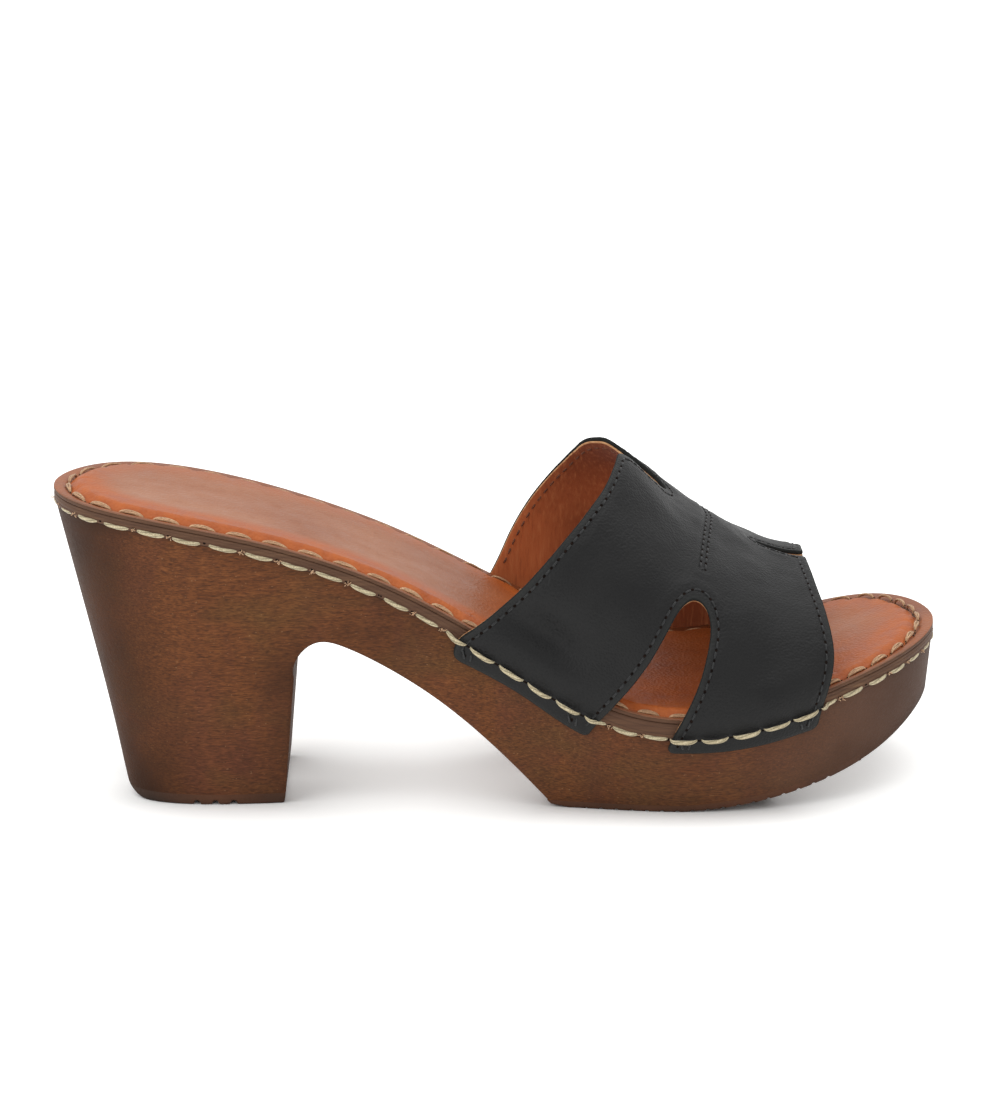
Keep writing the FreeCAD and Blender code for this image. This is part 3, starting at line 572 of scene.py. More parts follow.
def profile_solid(lower, upper, radius, rows, bottom_columns=8):
    """Solid between two side-view chains of equal length, closed at the sides by the slanting walls.

    lower and upper are (x, z) chains, and radius rounds the edge between wall and underside.
    """
    lower, upper = np.asarray(lower), np.asarray(upper)
    along = np.gradient(lower, axis=0)
    along /= np.maximum(np.linalg.norm(along, axis=1), 1e-9)[:, None]
    inward = np.column_stack([-along[:, 1], along[:, 0]])
    turns = np.linspace(0, math.pi / 2, 5)
    sections = []
    for low, high, into, r in zip(lower, upper, inward, radius):
        reach = np.linalg.norm(high - low)
        r = min(r, reach * 0.5)
        sides = ([], [])
        for turn in turns:
            x, z = low + into * r * (1 - math.cos(turn))
            for side, y, sign in zip(sides, wall_y(x, z), (1, -1)):
                side.append((x, y + sign * r * (1 - math.sin(turn)), z))
        start = low + into * r
        for share in np.linspace(0, 1, rows + 1)[1:]:
            x, z = start + (high - start) * share
            for side, y in zip(sides, wall_y(x, z)):
                side.append((x, y, z))
        lateral, medial = np.array(sides[0]), np.array(sides[1])
        crossed = lateral[:, 1] > medial[:, 1]
        middle = (lateral[:, 1] + medial[:, 1]) / 2
        lateral[crossed, 1] = middle[crossed]
        medial[crossed, 1] = middle[crossed]
        steps = np.linspace(0, 1, bottom_columns + 1)[1:-1]
        sections.append(np.vstack([lateral, straight(lateral[-1], medial[-1], steps), medial[::-1],
                                   straight(medial[0], lateral[0], steps)]))
    columns = len(sections[0])
    points = np.vstack(sections)
    faces = grid_faces(len(sections), columns, closed=True)
    faces.append(tuple(range(columns))[::-1])
    faces.append(tuple((len(sections) - 1) * columns + c for c in range(columns)))
    return points, faces


def heel_corner(z_from, z_to, count):
    """Rounded back corner of the heel, side view, from one level down to another."""
    slope = math.atan2(HALF_LENGTH + HEEL_BACK_X, HEEL_SEAT_HEIGHT)
    reach = HEEL_CORNER_RADIUS / math.tan((math.pi / 2 + slope) / 2)
    top_angle = math.acos(min(1, max(-1, 1 - z_from / HEEL_CORNER_RADIUS)))
    low_angle = math.acos(min(1, max(-1, 1 - z_to / HEEL_CORNER_RADIUS)))
    angles = np.linspace(top_angle, low_angle, count)
    x = HEEL_BACK_X + reach - HEEL_CORNER_RADIUS * np.sin(angles)
    return np.column_stack([x, HEEL_CORNER_RADIUS * (1 - np.cos(angles))])


def breast_x(z):
    """X of the heel's front face at one level."""
    return HEEL_BREAST_X + (ARCH[0][0] - HEEL_BREAST_X) * z / ARCH[0][1]


def chain(parts):
    """Joins (lower chain, upper X from, upper X to, shares, edge radius) parts into one set of stations."""
    lower, upper_x, radius = [], [], []
    for points, x_from, x_to, shares, r in parts:
        lower.extend(points)
        upper_x.extend(x_from + (x_to - x_from) * shares)
        radius.extend(np.broadcast_to(r, len(points)))
    return np.array(lower), np.array(upper_x), np.array(radius)


def straight(start, end, shares):
    """Points at shares of the way from start to end."""
    return np.array(start) + (np.array(end) - np.array(start)) * shares[:, None]


# By default the value goes to the attribute that holds worn edges on the black leather, and painted shade
# with some stain on the lining, band, wood and rubber.
def add_shade(piece, shade, name="stain_wear_and_painted_shade"):
    """Stores one value between 0 and 1 for each vertex, which the materials read by its name."""
    layers = piece.data.attributes
    layer = layers.get(name) or layers.new(name, "FLOAT", "POINT")
    layer.data.foreach_set("value", np.clip(shade, 0, 1).astype(np.float32))


def layout_points(piece):
    """The piece's vertices back in layout millimetres."""
    places = np.empty(len(piece.data.vertices) * 3, dtype=np.float32)
    piece.data.vertices.foreach_get("co", places)
    return places.reshape(-1, 3) / MM - LAYOUT_TO_ROW


def sole_stain_and_painted_shade(points):
    """Darker at the heel's back, where it turns from the light, along the heel's corners, under the band and
    round the arch, all painted shade; also darker towards the lower edges and the toe, with uneven stain.
    """
    x, y, z = points.T
    behind_wall = -x - 0.2 * z
    # painted shade: the heel's back turns away from the light
    back = smoothstep(behind_wall, 72, 100) * 0.8
    low = np.exp(-np.maximum(z - forefoot_underside(x), 0) / 3.0) * 0.5
    # painted shade at the heel's breast, under the band's overhang and under the arch
    near_breast = bump(x, HEEL_BREAST_X + 1.5, 7) * (1 - smoothstep(z, 38, 50)) * 0.5
    under_band = np.exp(-np.maximum(block_top(x) - z, 0) / 2.5) * 0.35
    arch = bump(x, -42, 16) * bump(z, 48, 8) * 0.4
    toe = smoothstep(x, 84, 121) * 0.35
    return back + low + near_breast + under_band + arch + toe + 0.25 * fractal(points, 16, 3, 3)


def make_sole_block():
    """Carved block; its underside runs from the heel's back over the arch to the toe."""
    tip_back = heel_corner(4.6, HEEL_TIP_THICKNESS, 6)
    tip_back[0] = (wall_reach(tip_back[0, 1], -1), tip_back[0, 1])
    breast_low = (breast_x(HEEL_TIP_THICKNESS), HEEL_TIP_THICKNESS)
    arch_curve = Spline(ARCH).value(np.linspace(0, 1, 400))
    arch_curve = resample(arch_curve[arch_curve[:, 1] > OUTSOLE_THICKNESS], 1.4)
    seam_x = np.linspace(arch_curve[-1, 0] + 0.3, OUTSOLE_FRONT_X, 56)
    seam = np.column_stack([seam_x, forefoot_underside(seam_x) + OUTSOLE_THICKNESS])
    toe_z = next(z for z in np.arange(15, 35, 0.05) if rocker_x(z) > wall_reach(z, 1))
    front_x = OUTSOLE_FRONT_X + 0.01 + (rocker_x(toe_z) - OUTSOLE_FRONT_X) * spread(40, dense_end=True)
    front = np.column_stack([front_x, rocker_height(front_x)])
    toe_top = wall_reach(block_top(HALF_LENGTH), 1)
    heel_top = wall_reach(block_top(-HALF_LENGTH), -1)
    # (underside, top's X from, top's X to, how they are shared out, edge radius)
    parts = [
        (tip_back, heel_top, -112, spread(6, dense_start=True), 0.0),
        (straight(tip_back[-1], breast_low, np.linspace(0.02, 1, 44)), -111, -76, spread(44), 0.0),
        (straight(breast_low, ARCH[0], np.linspace(0.01, 1, 30)), -75, -60, spread(30),
         np.minimum(1.3, 0.08 * np.arange(30))),
        (arch_curve[1:], -59.5, 14, spread(len(arch_curve) - 1), 1.0),
        (seam, 15, 97, spread(len(seam)), 0.0),
        (front, 97.5, toe_top, spread(40, dense_end=True), 0.8),
    ]
    lower, upper_x, radius = chain(parts)
    upper = np.column_stack([upper_x, block_top(upper_x)])
    points, faces = profile_solid(lower, upper, radius, 20)
    piece = make_piece("sole_wood", points, faces, [WOOD], ["sole_block"], sharp=38, merge=0.02)
    places = layout_points(piece)
    add_shade(piece, sole_stain_and_painted_shade(places))
    # Painted reflection: greyer towards the toe, standing in for the wood's grazing sheen.
    add_shade(piece, 0.1 + 0.9 * smoothstep(places[:, 0], 42, 112), "painted_sheen_grey")


def rocker_x(z):
    """X where the rocker's underside reaches a level."""
    return float(np.interp(z, rocker_height.y, rocker_height.x))


def make_heel_tip():
    """Rubber top piece with cross grooves; its front edge is rounded."""
    corner_radius = 0.8
    back = heel_corner(HEEL_TIP_THICKNESS, 0.02, 9)
    flat_x = np.arange(back[-1, 0] + 0.4, HEEL_BREAST_X - 0.9, 0.3)
    depth = np.zeros_like(flat_x)
    for right in HEEL_GROOVES_X:
        middle = right - HEEL_GROOVE_WIDTH / 2
        depth += HEEL_GROOVE_DEPTH * (1 - smoothstep(np.abs(flat_x - middle), 0.35, 1.15))
    flat = np.column_stack([flat_x, depth])
    corner_turns = np.linspace(0, math.pi / 2, 6)
    corner = np.column_stack([HEEL_BREAST_X - corner_radius + corner_radius * np.sin(corner_turns),
                              corner_radius * (1 - np.cos(corner_turns))])
    top_corner = (breast_x(HEEL_TIP_THICKNESS), HEEL_TIP_THICKNESS - 0.02)
    rise = straight(corner[-1], top_corner, np.linspace(0.2, 1, 5))
    lower = np.vstack([back, flat, corner, rise])
    front_count = len(corner) + len(rise)
    upper_x = lower[:, 0].copy()
    upper_x[-front_count:] = np.linspace(HEEL_BREAST_X - corner_radius, top_corner[0], front_count)
    upper = np.column_stack([upper_x, np.full(len(lower), HEEL_TIP_THICKNESS)])
    points, faces = profile_solid(lower, upper, np.full(len(lower), 0.7), 5, 16)
    piece = make_piece("heel_tip_rubber", points, faces, [RUBBER], ["heel_tip"], sharp=38,
                       merge=0.01)
    add_shade(piece, sole_stain_and_painted_shade(layout_points(piece)) * 0.8)


def make_outsole():
    """Rubber sheet with shallow cross grooves and a bevel where it starts under the arch."""
    start_x, bevel_length, bevel_height = 13.6, 4.5, 0.8
    x = np.arange(start_x + 1.0 + bevel_length, OUTSOLE_FRONT_X, 0.2)
    groove_place = (x - 28.0) / OUTSOLE_GROOVE_PITCH
    away = np.abs(groove_place - np.round(groove_place)) * OUTSOLE_GROOVE_PITCH
    grooved_part = (x > 24) & (x < OUTSOLE_FRONT_X - 8)
    depth = 0.35 * (1 - smoothstep(away, 0.2, 0.6)) * grooved_part
    flat = np.column_stack([x, forefoot_underside(x) + depth])
    corner = (start_x + 1.0, bevel_height)
    nose = np.vstack([straight((start_x, OUTSOLE_THICKNESS - 0.02), corner, np.linspace(0, 1, 4)),
                      straight(corner, flat[0], np.linspace(0.2, 0.9, 5))])
    front_turns = np.linspace(0, math.pi / 2, 5)
    front_base = float(forefoot_underside(OUTSOLE_FRONT_X))
    front = np.column_stack([OUTSOLE_FRONT_X + 0.1 + 0.6 * np.sin(front_turns),
                             front_base + 0.15 + 0.6 * (1 - np.cos(front_turns))])
    top_corner = (OUTSOLE_FRONT_X + 0.7, front_base + OUTSOLE_THICKNESS)
    rise = straight(front[-1], top_corner, np.linspace(0.3, 1, 4))
    lower = np.vstack([nose, flat, front, rise])
    upper_x = np.minimum(lower[:, 0], OUTSOLE_FRONT_X)
    upper = np.column_stack([upper_x, forefoot_underside(upper_x) + OUTSOLE_THICKNESS])
    points, faces = profile_solid(lower, upper, np.full(len(lower), 0.6), 4, 16)
    piece = make_piece("outsole_rubber", points, faces, [RUBBER], ["forefoot_outsole"],
                       sharp=38, merge=0.01)
    add_shade(piece, sole_stain_and_painted_shade(layout_points(piece)) * 0.8)


# ------------------------------------------------------------------ edge band
def make_band():
    """Strip round the rim with two fine scored lines along it, darkened as painted shade in the lines and at
    its top and bottom edges.
    """
    count = 900
    places, outward, _ = rim_points(count)
    x = places[:, 0]
    low, high = block_top(x), rim_height(x) - COVER_THICKNESS
    # (outward offset, share of the height, painted shade in the scored lines and the edge gaps) round the
    # strip's section, from its hidden inner side
    section = [(-5.5, 0.0, 0), (-0.9, 0.0, 1), (-0.35, 0.02, 1), (-0.02, 0.10, 0.5), (0.05, 0.2, 0),
               (0.03, 0.34, 0), (-0.06, 0.38, 0.5), (0.02, 0.42, 0), (0.06, 0.55, 0), (0.04, 0.68, 0),
               (-0.05, 0.72, 0.4), (0.0, 0.76, 0), (0.0, 0.86, 0), (-0.1, 0.95, 0.2), (-0.45, 1.0, 0.8),
               (-5.5, 1.0, 0)]
    wander = 0.06 * fractal(np.column_stack([places, np.zeros(count)]), 9, 3, 1)
    rings, shade = [], []
    for offset, share, dark in section:
        outset = offset + wander * (offset > -0.3)
        xy = places + outward * outset[:, None]
        rings.append(np.column_stack([xy, low + (high - low) * share]))
        shade.append(np.full(count, dark * 0.75))
    points = np.stack(rings, axis=1).reshape(-1, 3)
    columns = len(section)
    faces = grid_faces(count, columns, closed=True)
    last = (count - 1) * columns
    faces += [(last + c, last + (c + 1) % columns, (c + 1) % columns, c) for c in range(columns)]
    piece = make_piece("edge_band_strip", points, faces, [BAND], ["edge_band"])
    add_shade(piece, np.stack(shade, axis=1).ravel())


# ------------------------------------------------------------------ seams as chains of points
class SeamLine:
    """A chain of points with a normal at each, read by the distance along it."""

    def __init__(self, points, normals, closed=False):
        if closed:
            points, normals = np.vstack([points, points[:1]]), np.vstack([normals, normals[:1]])
        self.points, self.normals, self.closed = points, normals, closed
        self.lengths = chain_lengths(points)

    def at(self, distances):
        """Points and normals at some distances; on a closed chain these may run past its ends."""
        if self.closed:
            distances = np.asarray(distances) % self.lengths[-1]
        return [np.column_stack([np.interp(distances, self.lengths, column) for column in values.T])
                for values in (self.points, self.normals)]

    def one(self, distance):
        """The point and the normal at one distance."""
        points, normals = self.at([distance])
        return points[0], normals[0]

    def dashes(self, pitch, gap):
        """(start, end) distances of dashes that fill the chain; pitch is one number or one per point."""
        pitch = np.broadcast_to(pitch, (len(self.points),))
        stitches = np.concatenate([[0], np.cumsum(np.diff(self.lengths) * 2 / (pitch[1:] + pitch[:-1]))])
        count = max(1, int(round(stitches[-1])))
        ends = np.interp(np.arange(count + 1) * stitches[-1] / count, stitches, self.lengths)
        return [(start + gap / 2, end - gap / 2) for start, end in zip(ends[:-1], ends[1:])]


def rim_line(outward_shift, height_shift):
    """Closed seam along the rim, shifted outward by a function of (x, y) and upward by one of x."""
    places, outward, _ = rim_points(RIM_SAMPLES)
    x, y = places.T
    xy = places + outward * outward_shift(x, y)[:, None]
    return SeamLine(np.column_stack([xy, rim_height(x) + height_shift(x)]),
                    np.column_stack([outward, np.zeros(RIM_SAMPLES)]), closed=True)


def rim_dashes(line, gap):
    """Dashes of the heavy rim seam, whose stitches are a little longer round the heel."""
    toe_share = smoothstep(line.points[:, 0], -60, 40)
    return line.dashes(HEEL_STITCH_PITCH + (RIM_STITCH_PITCH - HEEL_STITCH_PITCH) * toe_share, gap)


# ------------------------------------------------------------------ footbed
def margin_scale(y):
    """How wide the sewn margin is compared with TOP_STITCH_INSET: narrower on the lateral side."""
    return 0.84 + 0.14 * np.clip(y / 25, 0, 1) + 0.36 * np.clip(y / 28, -1, 0)


top_line = rim_line(lambda x, y: -TOP_STITCH_INSET * margin_scale(y), lambda x: 0.0)


def cushion_profile(inset, pucker, y):
    """Height above the rim's plane at a distance from the outline; pucker is 1 at a needle hole."""
    medial = smoothstep(y, -5, 25)
    from_seam = inset - TOP_STITCH_INSET
    edge_round = -0.3 * np.exp(-inset / 0.22)
    groove = -(0.5 + 0.3 * pucker - 0.15 * medial) * np.exp(-(from_seam / 0.8) ** 2)
    rise_end = 5.5 - 3.0 * medial + 1.2 * pucker * medial
    swell = CUSHION_CROWN * (1 - 0.28 * medial) * smoothstep(from_seam, 0.1 + 0.7 * pucker, rise_end)
    shoulder = 0.45 * (1 - 0.5 * pucker) * (1 - medial) * np.exp(-((from_seam - 4.2) / 2.6) ** 2)
    dish = -0.7 * smoothstep(inset, TOP_STITCH_INSET + 6, 26)
    return edge_round + groove + swell + shoulder + dish


def middle_line(ring):
    """The footbed's middle line beside each point of a ring, where a sheet's rings close up."""
    x = np.clip(ring[:, 0], -84, 80)
    return np.column_stack([x, (lateral_edge(x) + medial_edge(x)) / 2])


def pucker_round_rim(count):
    """1 at the top seam's needle holes and 0 between them, for the cover's columns."""
    line_shares = np.linspace(0, 1, len(top_line.points))
    distance = np.interp(np.arange(count) / count, line_shares, top_line.lengths)
    holes = np.array([0] + [end for _, end in rim_dashes(top_line, 0.0)])
    return np.exp(-(np.abs(distance[:, None] - holes).min(1) / 1.5) ** 2)


def cover_top(places, outward):
    """Rings of the cover's upper side, from the cut edge to the middle line."""
    pucker = pucker_round_rim(len(places))
    scale = margin_scale(places[:, 1])[:, None]
    rings = [places - outward * inset * scale for inset in COVER_INSETS]
    insets = [np.full(len(places), inset) for inset in COVER_INSETS]
    puckers = [pucker] * len(rings)
    seam_ring = rings[-1]
    for share in spread(16)[1:]:
        rings.append(seam_ring + (middle_line(seam_ring) - seam_ring) * share)
        insets.append(COVER_INSETS[-1] + np.linalg.norm(rings[-1] - seam_ring, axis=1))
        puckers.append(pucker * 0)
    xy, inset = np.vstack(rings), np.concatenate(insets)
    flat = np.column_stack([xy, np.zeros(len(xy))])
    uneven = 0.28 * fractal(flat, 26, 3, 2) * smoothstep(inset, 5, 14)
    dimples = 0.02 * fractal(flat, 5, 2, 5) * smoothstep(inset, 5, 9)
    z = rim_height(xy[:, 0]) + cushion_profile(inset, np.concatenate(puckers), xy[:, 1]) + uneven + dimples
    return np.column_stack([xy, z])


def cover_edge(places, outward):
    """Rows of the margin's hidden underside and its slightly fibrous cut edge, from below upwards."""
    rim_z = rim_height(places[:, 0])
    wobble = 0.05 * fractal(np.column_stack([places, rim_z]), 3, 2, 8)
    underside = COVER_THICKNESS - 0.02
    # (outward offset, share of the wobble, depth below the rim)
    section = [(-2.0, 0, underside), (-0.12, 0, underside), (0.06, 1, 1.0), (0.06, 1, 0.75), (-0.08, 1, 0.5),
               (0.03, 1, 0.28)]
    return [np.column_stack([places + outward * (offset + share * wobble)[:, None], rim_z - depth])
            for offset, share, depth in section]


def shade_cover(piece):
    """Where the cover is more orange, in the margin, shadowed by the upper, or dyed at its edge."""
    points = layout_points(piece)
    x, y = points[:, 0], points[:, 1]
    inside = nearest(points[:, :2], rim_points(720)[0])
    depth = inside / margin_scale(y)
    lateral = smoothstep(8 - y, -10, 16)
    margin = 1 - smoothstep(depth, 4.2, 5.0)
    orange = smoothstep(depth, 4.0, 5.5) * (1 - smoothstep(inside, 8.0, 19.0)) * (0.5 + 0.6 * lateral)
    orange += (0.3 + 0.45 * lateral) * smoothstep(x, -20, 30) + 0.6 * window(x, 0, 82, 8)
    shadowed = 0.55 * window(x, 14, 78, 8) * smoothstep(y, -24, 10) + 0.45 * margin * smoothstep(y, 8, 22)
    dyed = 0.75 * (1 - smoothstep(depth, 0.8, 2.0)) * smoothstep(-y, 8, 20)
    for name, values in (("orange", orange), ("margin", margin), ("shadowed", shadowed), ("dyed", dyed)):
        add_shade(piece, values, name)


def make_cover():
    """Flat sewn margin, puckered seam and soft raised middle, as one sheet turned down at the rim."""
    places, outward, _ = rim_points(COVER_COLUMNS)
    edge_rows = cover_edge(places, outward)
    points = np.vstack(edge_rows + [cover_top(places, outward)])
    faces = grid_faces(len(points) // COVER_COLUMNS, COVER_COLUMNS, closed=True)
    row = np.arange(len(faces)) // COVER_COLUMNS
    raw_row = len(edge_rows) - 1
    material = np.where(row < raw_row, 2, np.where(row == raw_row, 1, 0))
    piece = make_piece("footbed_cover_leather", points, faces, [TAN, TAN_RAW, BAND],
                       ["footbed_cover"], face_material=material, merge=0.003)
    shade_cover(piece)


def make_cushion():
    """Foam pad under the cover, hidden in the finished shoe."""
    count = 360
    places, outward, _ = rim_points(count)

    def ring(xy, lift):
        low = block_top(xy[:, 0]) + 0.3
        high = rim_height(xy[:, 0]) - COVER_THICKNESS + CUSHION_CROWN - 0.7
        return np.column_stack([xy, low + (high - low) * lift])

    rings = [ring(places - outward * inset, lift)
             for inset, lift in ((6.6, 0), (6.6, 0.6), (7.4, 1.0), (10.0, 1.0))]
    middle = middle_line(rings[-1])
    rings = [ring(middle, 0)] + rings + [ring(middle, 1.0)]
    faces = grid_faces(len(rings), count, closed=True)
    piece = make_piece("footbed_foam", np.vstack(rings), faces, [FOAM], ["footbed_cushion"],
                       merge=0.003)


# ------------------------------------------------------------------ the leather upper as a surface
crest_height = Graph([(-24, 124), (10, 106), (27, 95), (37, 86.8), (47, 77.2), (56, 70.6), (67, 64.1),
                      (76, 59.2), (86, 57.4), (100, 56.2)])
crest_side = Graph([(-24, 7), (36, 7), (60, 9), (83, 12), (100, 12.5)])
SQUARENESS = 0.95


def margin_depth(x):
    """How far the sewn margin of the upper reaches below the rim."""
    return 9.0 + 2.6 * bump(x, 22, 14) + 1.6 * bump(x, -12, 14)


def foot_side(x, girth):
    """Points of the lining's foot side; girth is -1 at the lateral rim, 0 at the crest, +1 at the medial
    rim and runs on to -2 and +2 at the lower edge of the sewn margin."""
    x, girth = np.broadcast_arrays(np.asarray(x, dtype=float), np.asarray(girth, dtype=float))
    side = np.where(girth < 0, -1.0, 1.0)
    rim_y = np.where(girth < 0, lateral_edge(x), medial_edge(x)) + side * UPPER_CLEARANCE
    rim_z = rim_height(x)
    drop = np.maximum(np.abs(girth) - 1, 0) * margin_depth(x)
    angle = np.clip(1 - np.abs(girth), 0, 1) * math.pi / 2
    y_up = crest_side(x) + (rim_y - crest_side(x)) * np.cos(angle) ** SQUARENESS
    z_up = rim_z + (crest_height(x) - rim_z) * np.sin(angle) ** SQUARENESS
    below = np.abs(girth) > 1
    y = np.where(below, rim_y - side * drop * wall_inset(x) / block_top(x), y_up)
    return np.stack([x, y, np.where(below, rim_z - drop, z_up)], axis=-1)


def upper_normal(x, girth):
    """Direction away from the foot."""
    along = foot_side(x + 0.5, girth) - foot_side(x - 0.5, girth)
    around = foot_side(x, girth + 0.02) - foot_side(x, girth - 0.02)
    return unit(np.cross(along, around))


def dents(place):
    """Soft unevenness of the leather as worn and handled, in mm along the normal."""
    x, y, z = place.T
    lateral = smoothstep(-y, 5, 25)
    free = smoothstep(z - rim_height(x), 1, 10)
    low_slope = z - 50 + 0.9 * (x - 14)
    hollow = -4.2 * bump(low_slope, 0, 9) * bump(x - z, -37, 19) - 1.2 * bump(x, 33, 7) * bump(z, 45, 8)
    swell = 1.0 * bump(x, 24, 12) * bump(z, 66, 11) - 1.6 * bump(x, 72, 8) * bump(z, 40, 8)
    soft = 0.9 * fractal(place, 24, 2, 4) + 0.25 * fractal(place, 9, 2, 6)
    return free * (lateral * (hollow + swell) + soft)


def upper_point(x, girth, lift):
    """Points of the upper, lifted off the lining's foot side, in the plane of x."""
    place = foot_side(x, girth)
    normal = upper_normal(x, girth)
    flat = normal * np.array([0, 1, 1])
    scale = np.asarray(lift)[..., None] / (flat ** 2).sum(-1)[..., None]
    return place + flat * scale


# Side-view (x, z) and plan (x, y) edges, as in the CAD model.
REAR_EDGE_LATERAL = [(-12.5, 34), (-11.2, 40.5), (-10.9, 45), (-9.8, 48.2), (-6.8, 51), (1, 57),
                     (13.7, 69.5), (24.3, 80.6), (34.5, 91), (44.5, 102)]
REAR_EDGE_MEDIAL = [(-6.5, 34), (-5.2, 39), (-3.4, 43.5), (0.6, 51), (3.9, 58.2), (10.2, 69.5),
                    (18.3, 80), (25.4, 88), (34, 97), (45, 109)]
FRONT_EDGE = [(84.3, 12), (85.4, 22), (86.5, 28), (89.3, 37.3), (90.3, 43.5), (89.2, 51.5), (86.6, 59),
              (83.2, 66), (79, 75)]
CUTOUT_LATERAL = [(22, 8), (24.6, 23.5), (28.4, 28.8), (35.4, 37), (42, 46), (46.4, 53.2), (49.8, 57.4),
                  (52.8, 58.6), (55.9, 57), (57.6, 53.2), (57, 47), (54.2, 37.6), (50.2, 28.9), (46.9, 22),
                  (44.5, 8)]
MEDIAL_CUTOUT_SHIFT = -8.0
CUTOUT_MEDIAL = [(x + MEDIAL_CUTOUT_SHIFT, z) for x, z in CUTOUT_LATERAL]
REAR_NOTCH = [(24, -4.5), (31, -1.8), (37, 1.2), (43, 4), (46.5, 6.2), (47.2, 8.8), (45, 12.4), (38, 17),
              (31, 20), (24, 22)]
FRONT_NOTCH = [(95, 8.7), (84, 9), (77, 9.5), (73.2, 10.3), (71.4, 11.8), (73, 13.5), (77, 14.5),
               (84, 15.2), (95, 15.4)]
FRONT_SKEW, REFERENCE_Y = -0.04, -33.0
MIDDLE_LIFT = OUTER_FROM + OUTER_LEATHER / 2


def girth_at_height(x, z, side):
    """Girth, on one side, where the upper's middle layer has height z."""
    low, high = np.zeros_like(x), np.full_like(x, 2.4)
    for _ in range(30):
        middle = (low + high) / 2
        above = upper_point(x, side * middle, np.full_like(x, MIDDLE_LIFT))[:, 2] > z
        low, high = np.where(above, middle, low), np.where(above, high, middle)
    return side * low


def girth_at_side(x, y):
    """Girth where the upper's middle layer, near the top of the instep, has side position y."""
    low, high = np.full_like(x, -0.95), np.full_like(x, 0.95)
    for _ in range(30):
        middle = (low + high) / 2
        before = upper_point(x, middle, np.full_like(x, MIDDLE_LIFT))[:, 1] < y
        low, high = np.where(before, middle, low), np.where(before, high, middle)
    return low


# The upper is laid out flat in (x, v): v follows the girth with about true lengths.
SIDE_LENGTH, MARGIN_LENGTH = 62.0, 10.5


def to_flat(x, girth):
    """(x, girth) to (x, v)."""
    size = np.minimum(np.abs(girth), 1) * SIDE_LENGTH + np.maximum(np.abs(girth) - 1, 0) * MARGIN_LENGTH
    return np.column_stack([x, np.sign(girth) * size])


def to_girth(v):
    """v back to girth."""
    size = np.minimum(np.abs(v), SIDE_LENGTH) / SIDE_LENGTH
    return np.sign(v) * (size + np.maximum(np.abs(v) - SIDE_LENGTH, 0) / MARGIN_LENGTH)


def side_line(outline, side, skew=0.0, inset=0.0, count=240):
    """A side-view edge, moved into the leather by inset, laid on one side of the upper, in (x, v)."""
    curve = Spline(outline)
    shares = np.linspace(0, 1, count)
    place, tangent = curve.value(shares), curve.tangent(shares)
    x, z = place[:, 0] + tangent[:, 1] * inset, place[:, 1] - tangent[:, 0] * inset
    y = np.full_like(x, side * 30.0)
    for _ in range(4):
        skewed = x + skew * (y - REFERENCE_Y)
        girth = girth_at_height(skewed, z, side)
        y = upper_point(skewed, girth, np.full_like(x, MIDDLE_LIFT))[:, 1]
    keep = np.abs(girth) < 2.39
    return to_flat(skewed, girth)[keep]


def notch_line(outline, inset=0.0, count=200):
    """A plan-view notch, moved into the leather by inset, laid on top of the upper, in (x, v)."""
    curve = Spline(outline)
    shares = np.linspace(0, 1, count)
    place, tangent = curve.value(shares), curve.tangent(shares)
    x, y = place[:, 0] + tangent[:, 1] * inset, place[:, 1] - tangent[:, 0] * inset
    return to_flat(x, girth_at_side(x, y))


def crossing(first, second):
    """Where two chains cross: (index on first, index on second, point)."""
    p, r = first[:-1], np.diff(first, axis=0)
    q, s = second[:-1], np.diff(second, axis=0)
    cross = r[:, None, 0] * s[None, :, 1] - r[:, None, 1] * s[None, :, 0]
    gap = q[None] - p[:, None]
    with np.errstate(divide="ignore", invalid="ignore"):
        t = (gap[..., 0] * s[None, :, 1] - gap[..., 1] * s[None, :, 0]) / cross
        u = (gap[..., 0] * r[:, None, 1] - gap[..., 1] * r[:, None, 0]) / cross
    hits = np.argwhere((t >= 0) & (t <= 1) & (u >= 0) & (u <= 1))
    if len(hits) == 0:
        raise RuntimeError("two edges of the upper don't cross")
    i, j = hits[0]
    return i, j, p[i] + r[i] * t[i, j]


def corner_arc(before, corner, after):
    """Points of a soft bend from one chain's end to the next one's start."""
    u = np.linspace(0, 1, 12)[1:-1, None]
    return (1 - u) ** 2 * before + 2 * u * (1 - u) * corner + u**2 * after


def cut_to_loop(chains, radii):
    """One closed outline from chains that cross one another in turn, with rounded corners."""
    count = len(chains)
    starts, ends, corners = [None] * count, [None] * count, []
    for k in range(count):
        i, j, point = crossing(chains[k], chains[(k + 1) % count])
        ends[k], starts[(k + 1) % count] = i, j + 1
        corners.append(point)
    pieces = []
    for k in range(count):
        inner = chains[k][starts[k]:ends[k] + 1]
        whole = np.vstack([corners[k - 1], inner, corners[k]])
        pieces.append(resample(whole, 0.35))
    outline = []
    for k, piece in enumerate(pieces):
        away_start = np.linalg.norm(piece - corners[k - 1], axis=1)
        away_end = np.linalg.norm(piece - corners[k], axis=1)
        kept = piece[(away_start > radii[k - 1]) & (away_end > radii[k])]
        outline.append(kept)
        after = pieces[(k + 1) % count]
        beyond = after[np.linalg.norm(after - corners[k], axis=1) > radii[k]]
        outline.append(corner_arc(kept[-1], corners[k], beyond[0]))
    return resample(np.vstack(outline), 0.6, closed=True)


def margin_line(side, x_from, x_to, depth):
    """Lower edge of the upper's sewn margin, as a girth of that depth."""
    x = np.linspace(x_from, x_to, 200)
    return to_flat(x, np.full_like(x, side * depth))


NEAR_PEAK_RADIUS, FAR_PEAK_RADIUS, MARGIN_CORNER_RADIUS, FRONT_TIP_RADIUS = 2.6, 14.0, 1.5, 1.0


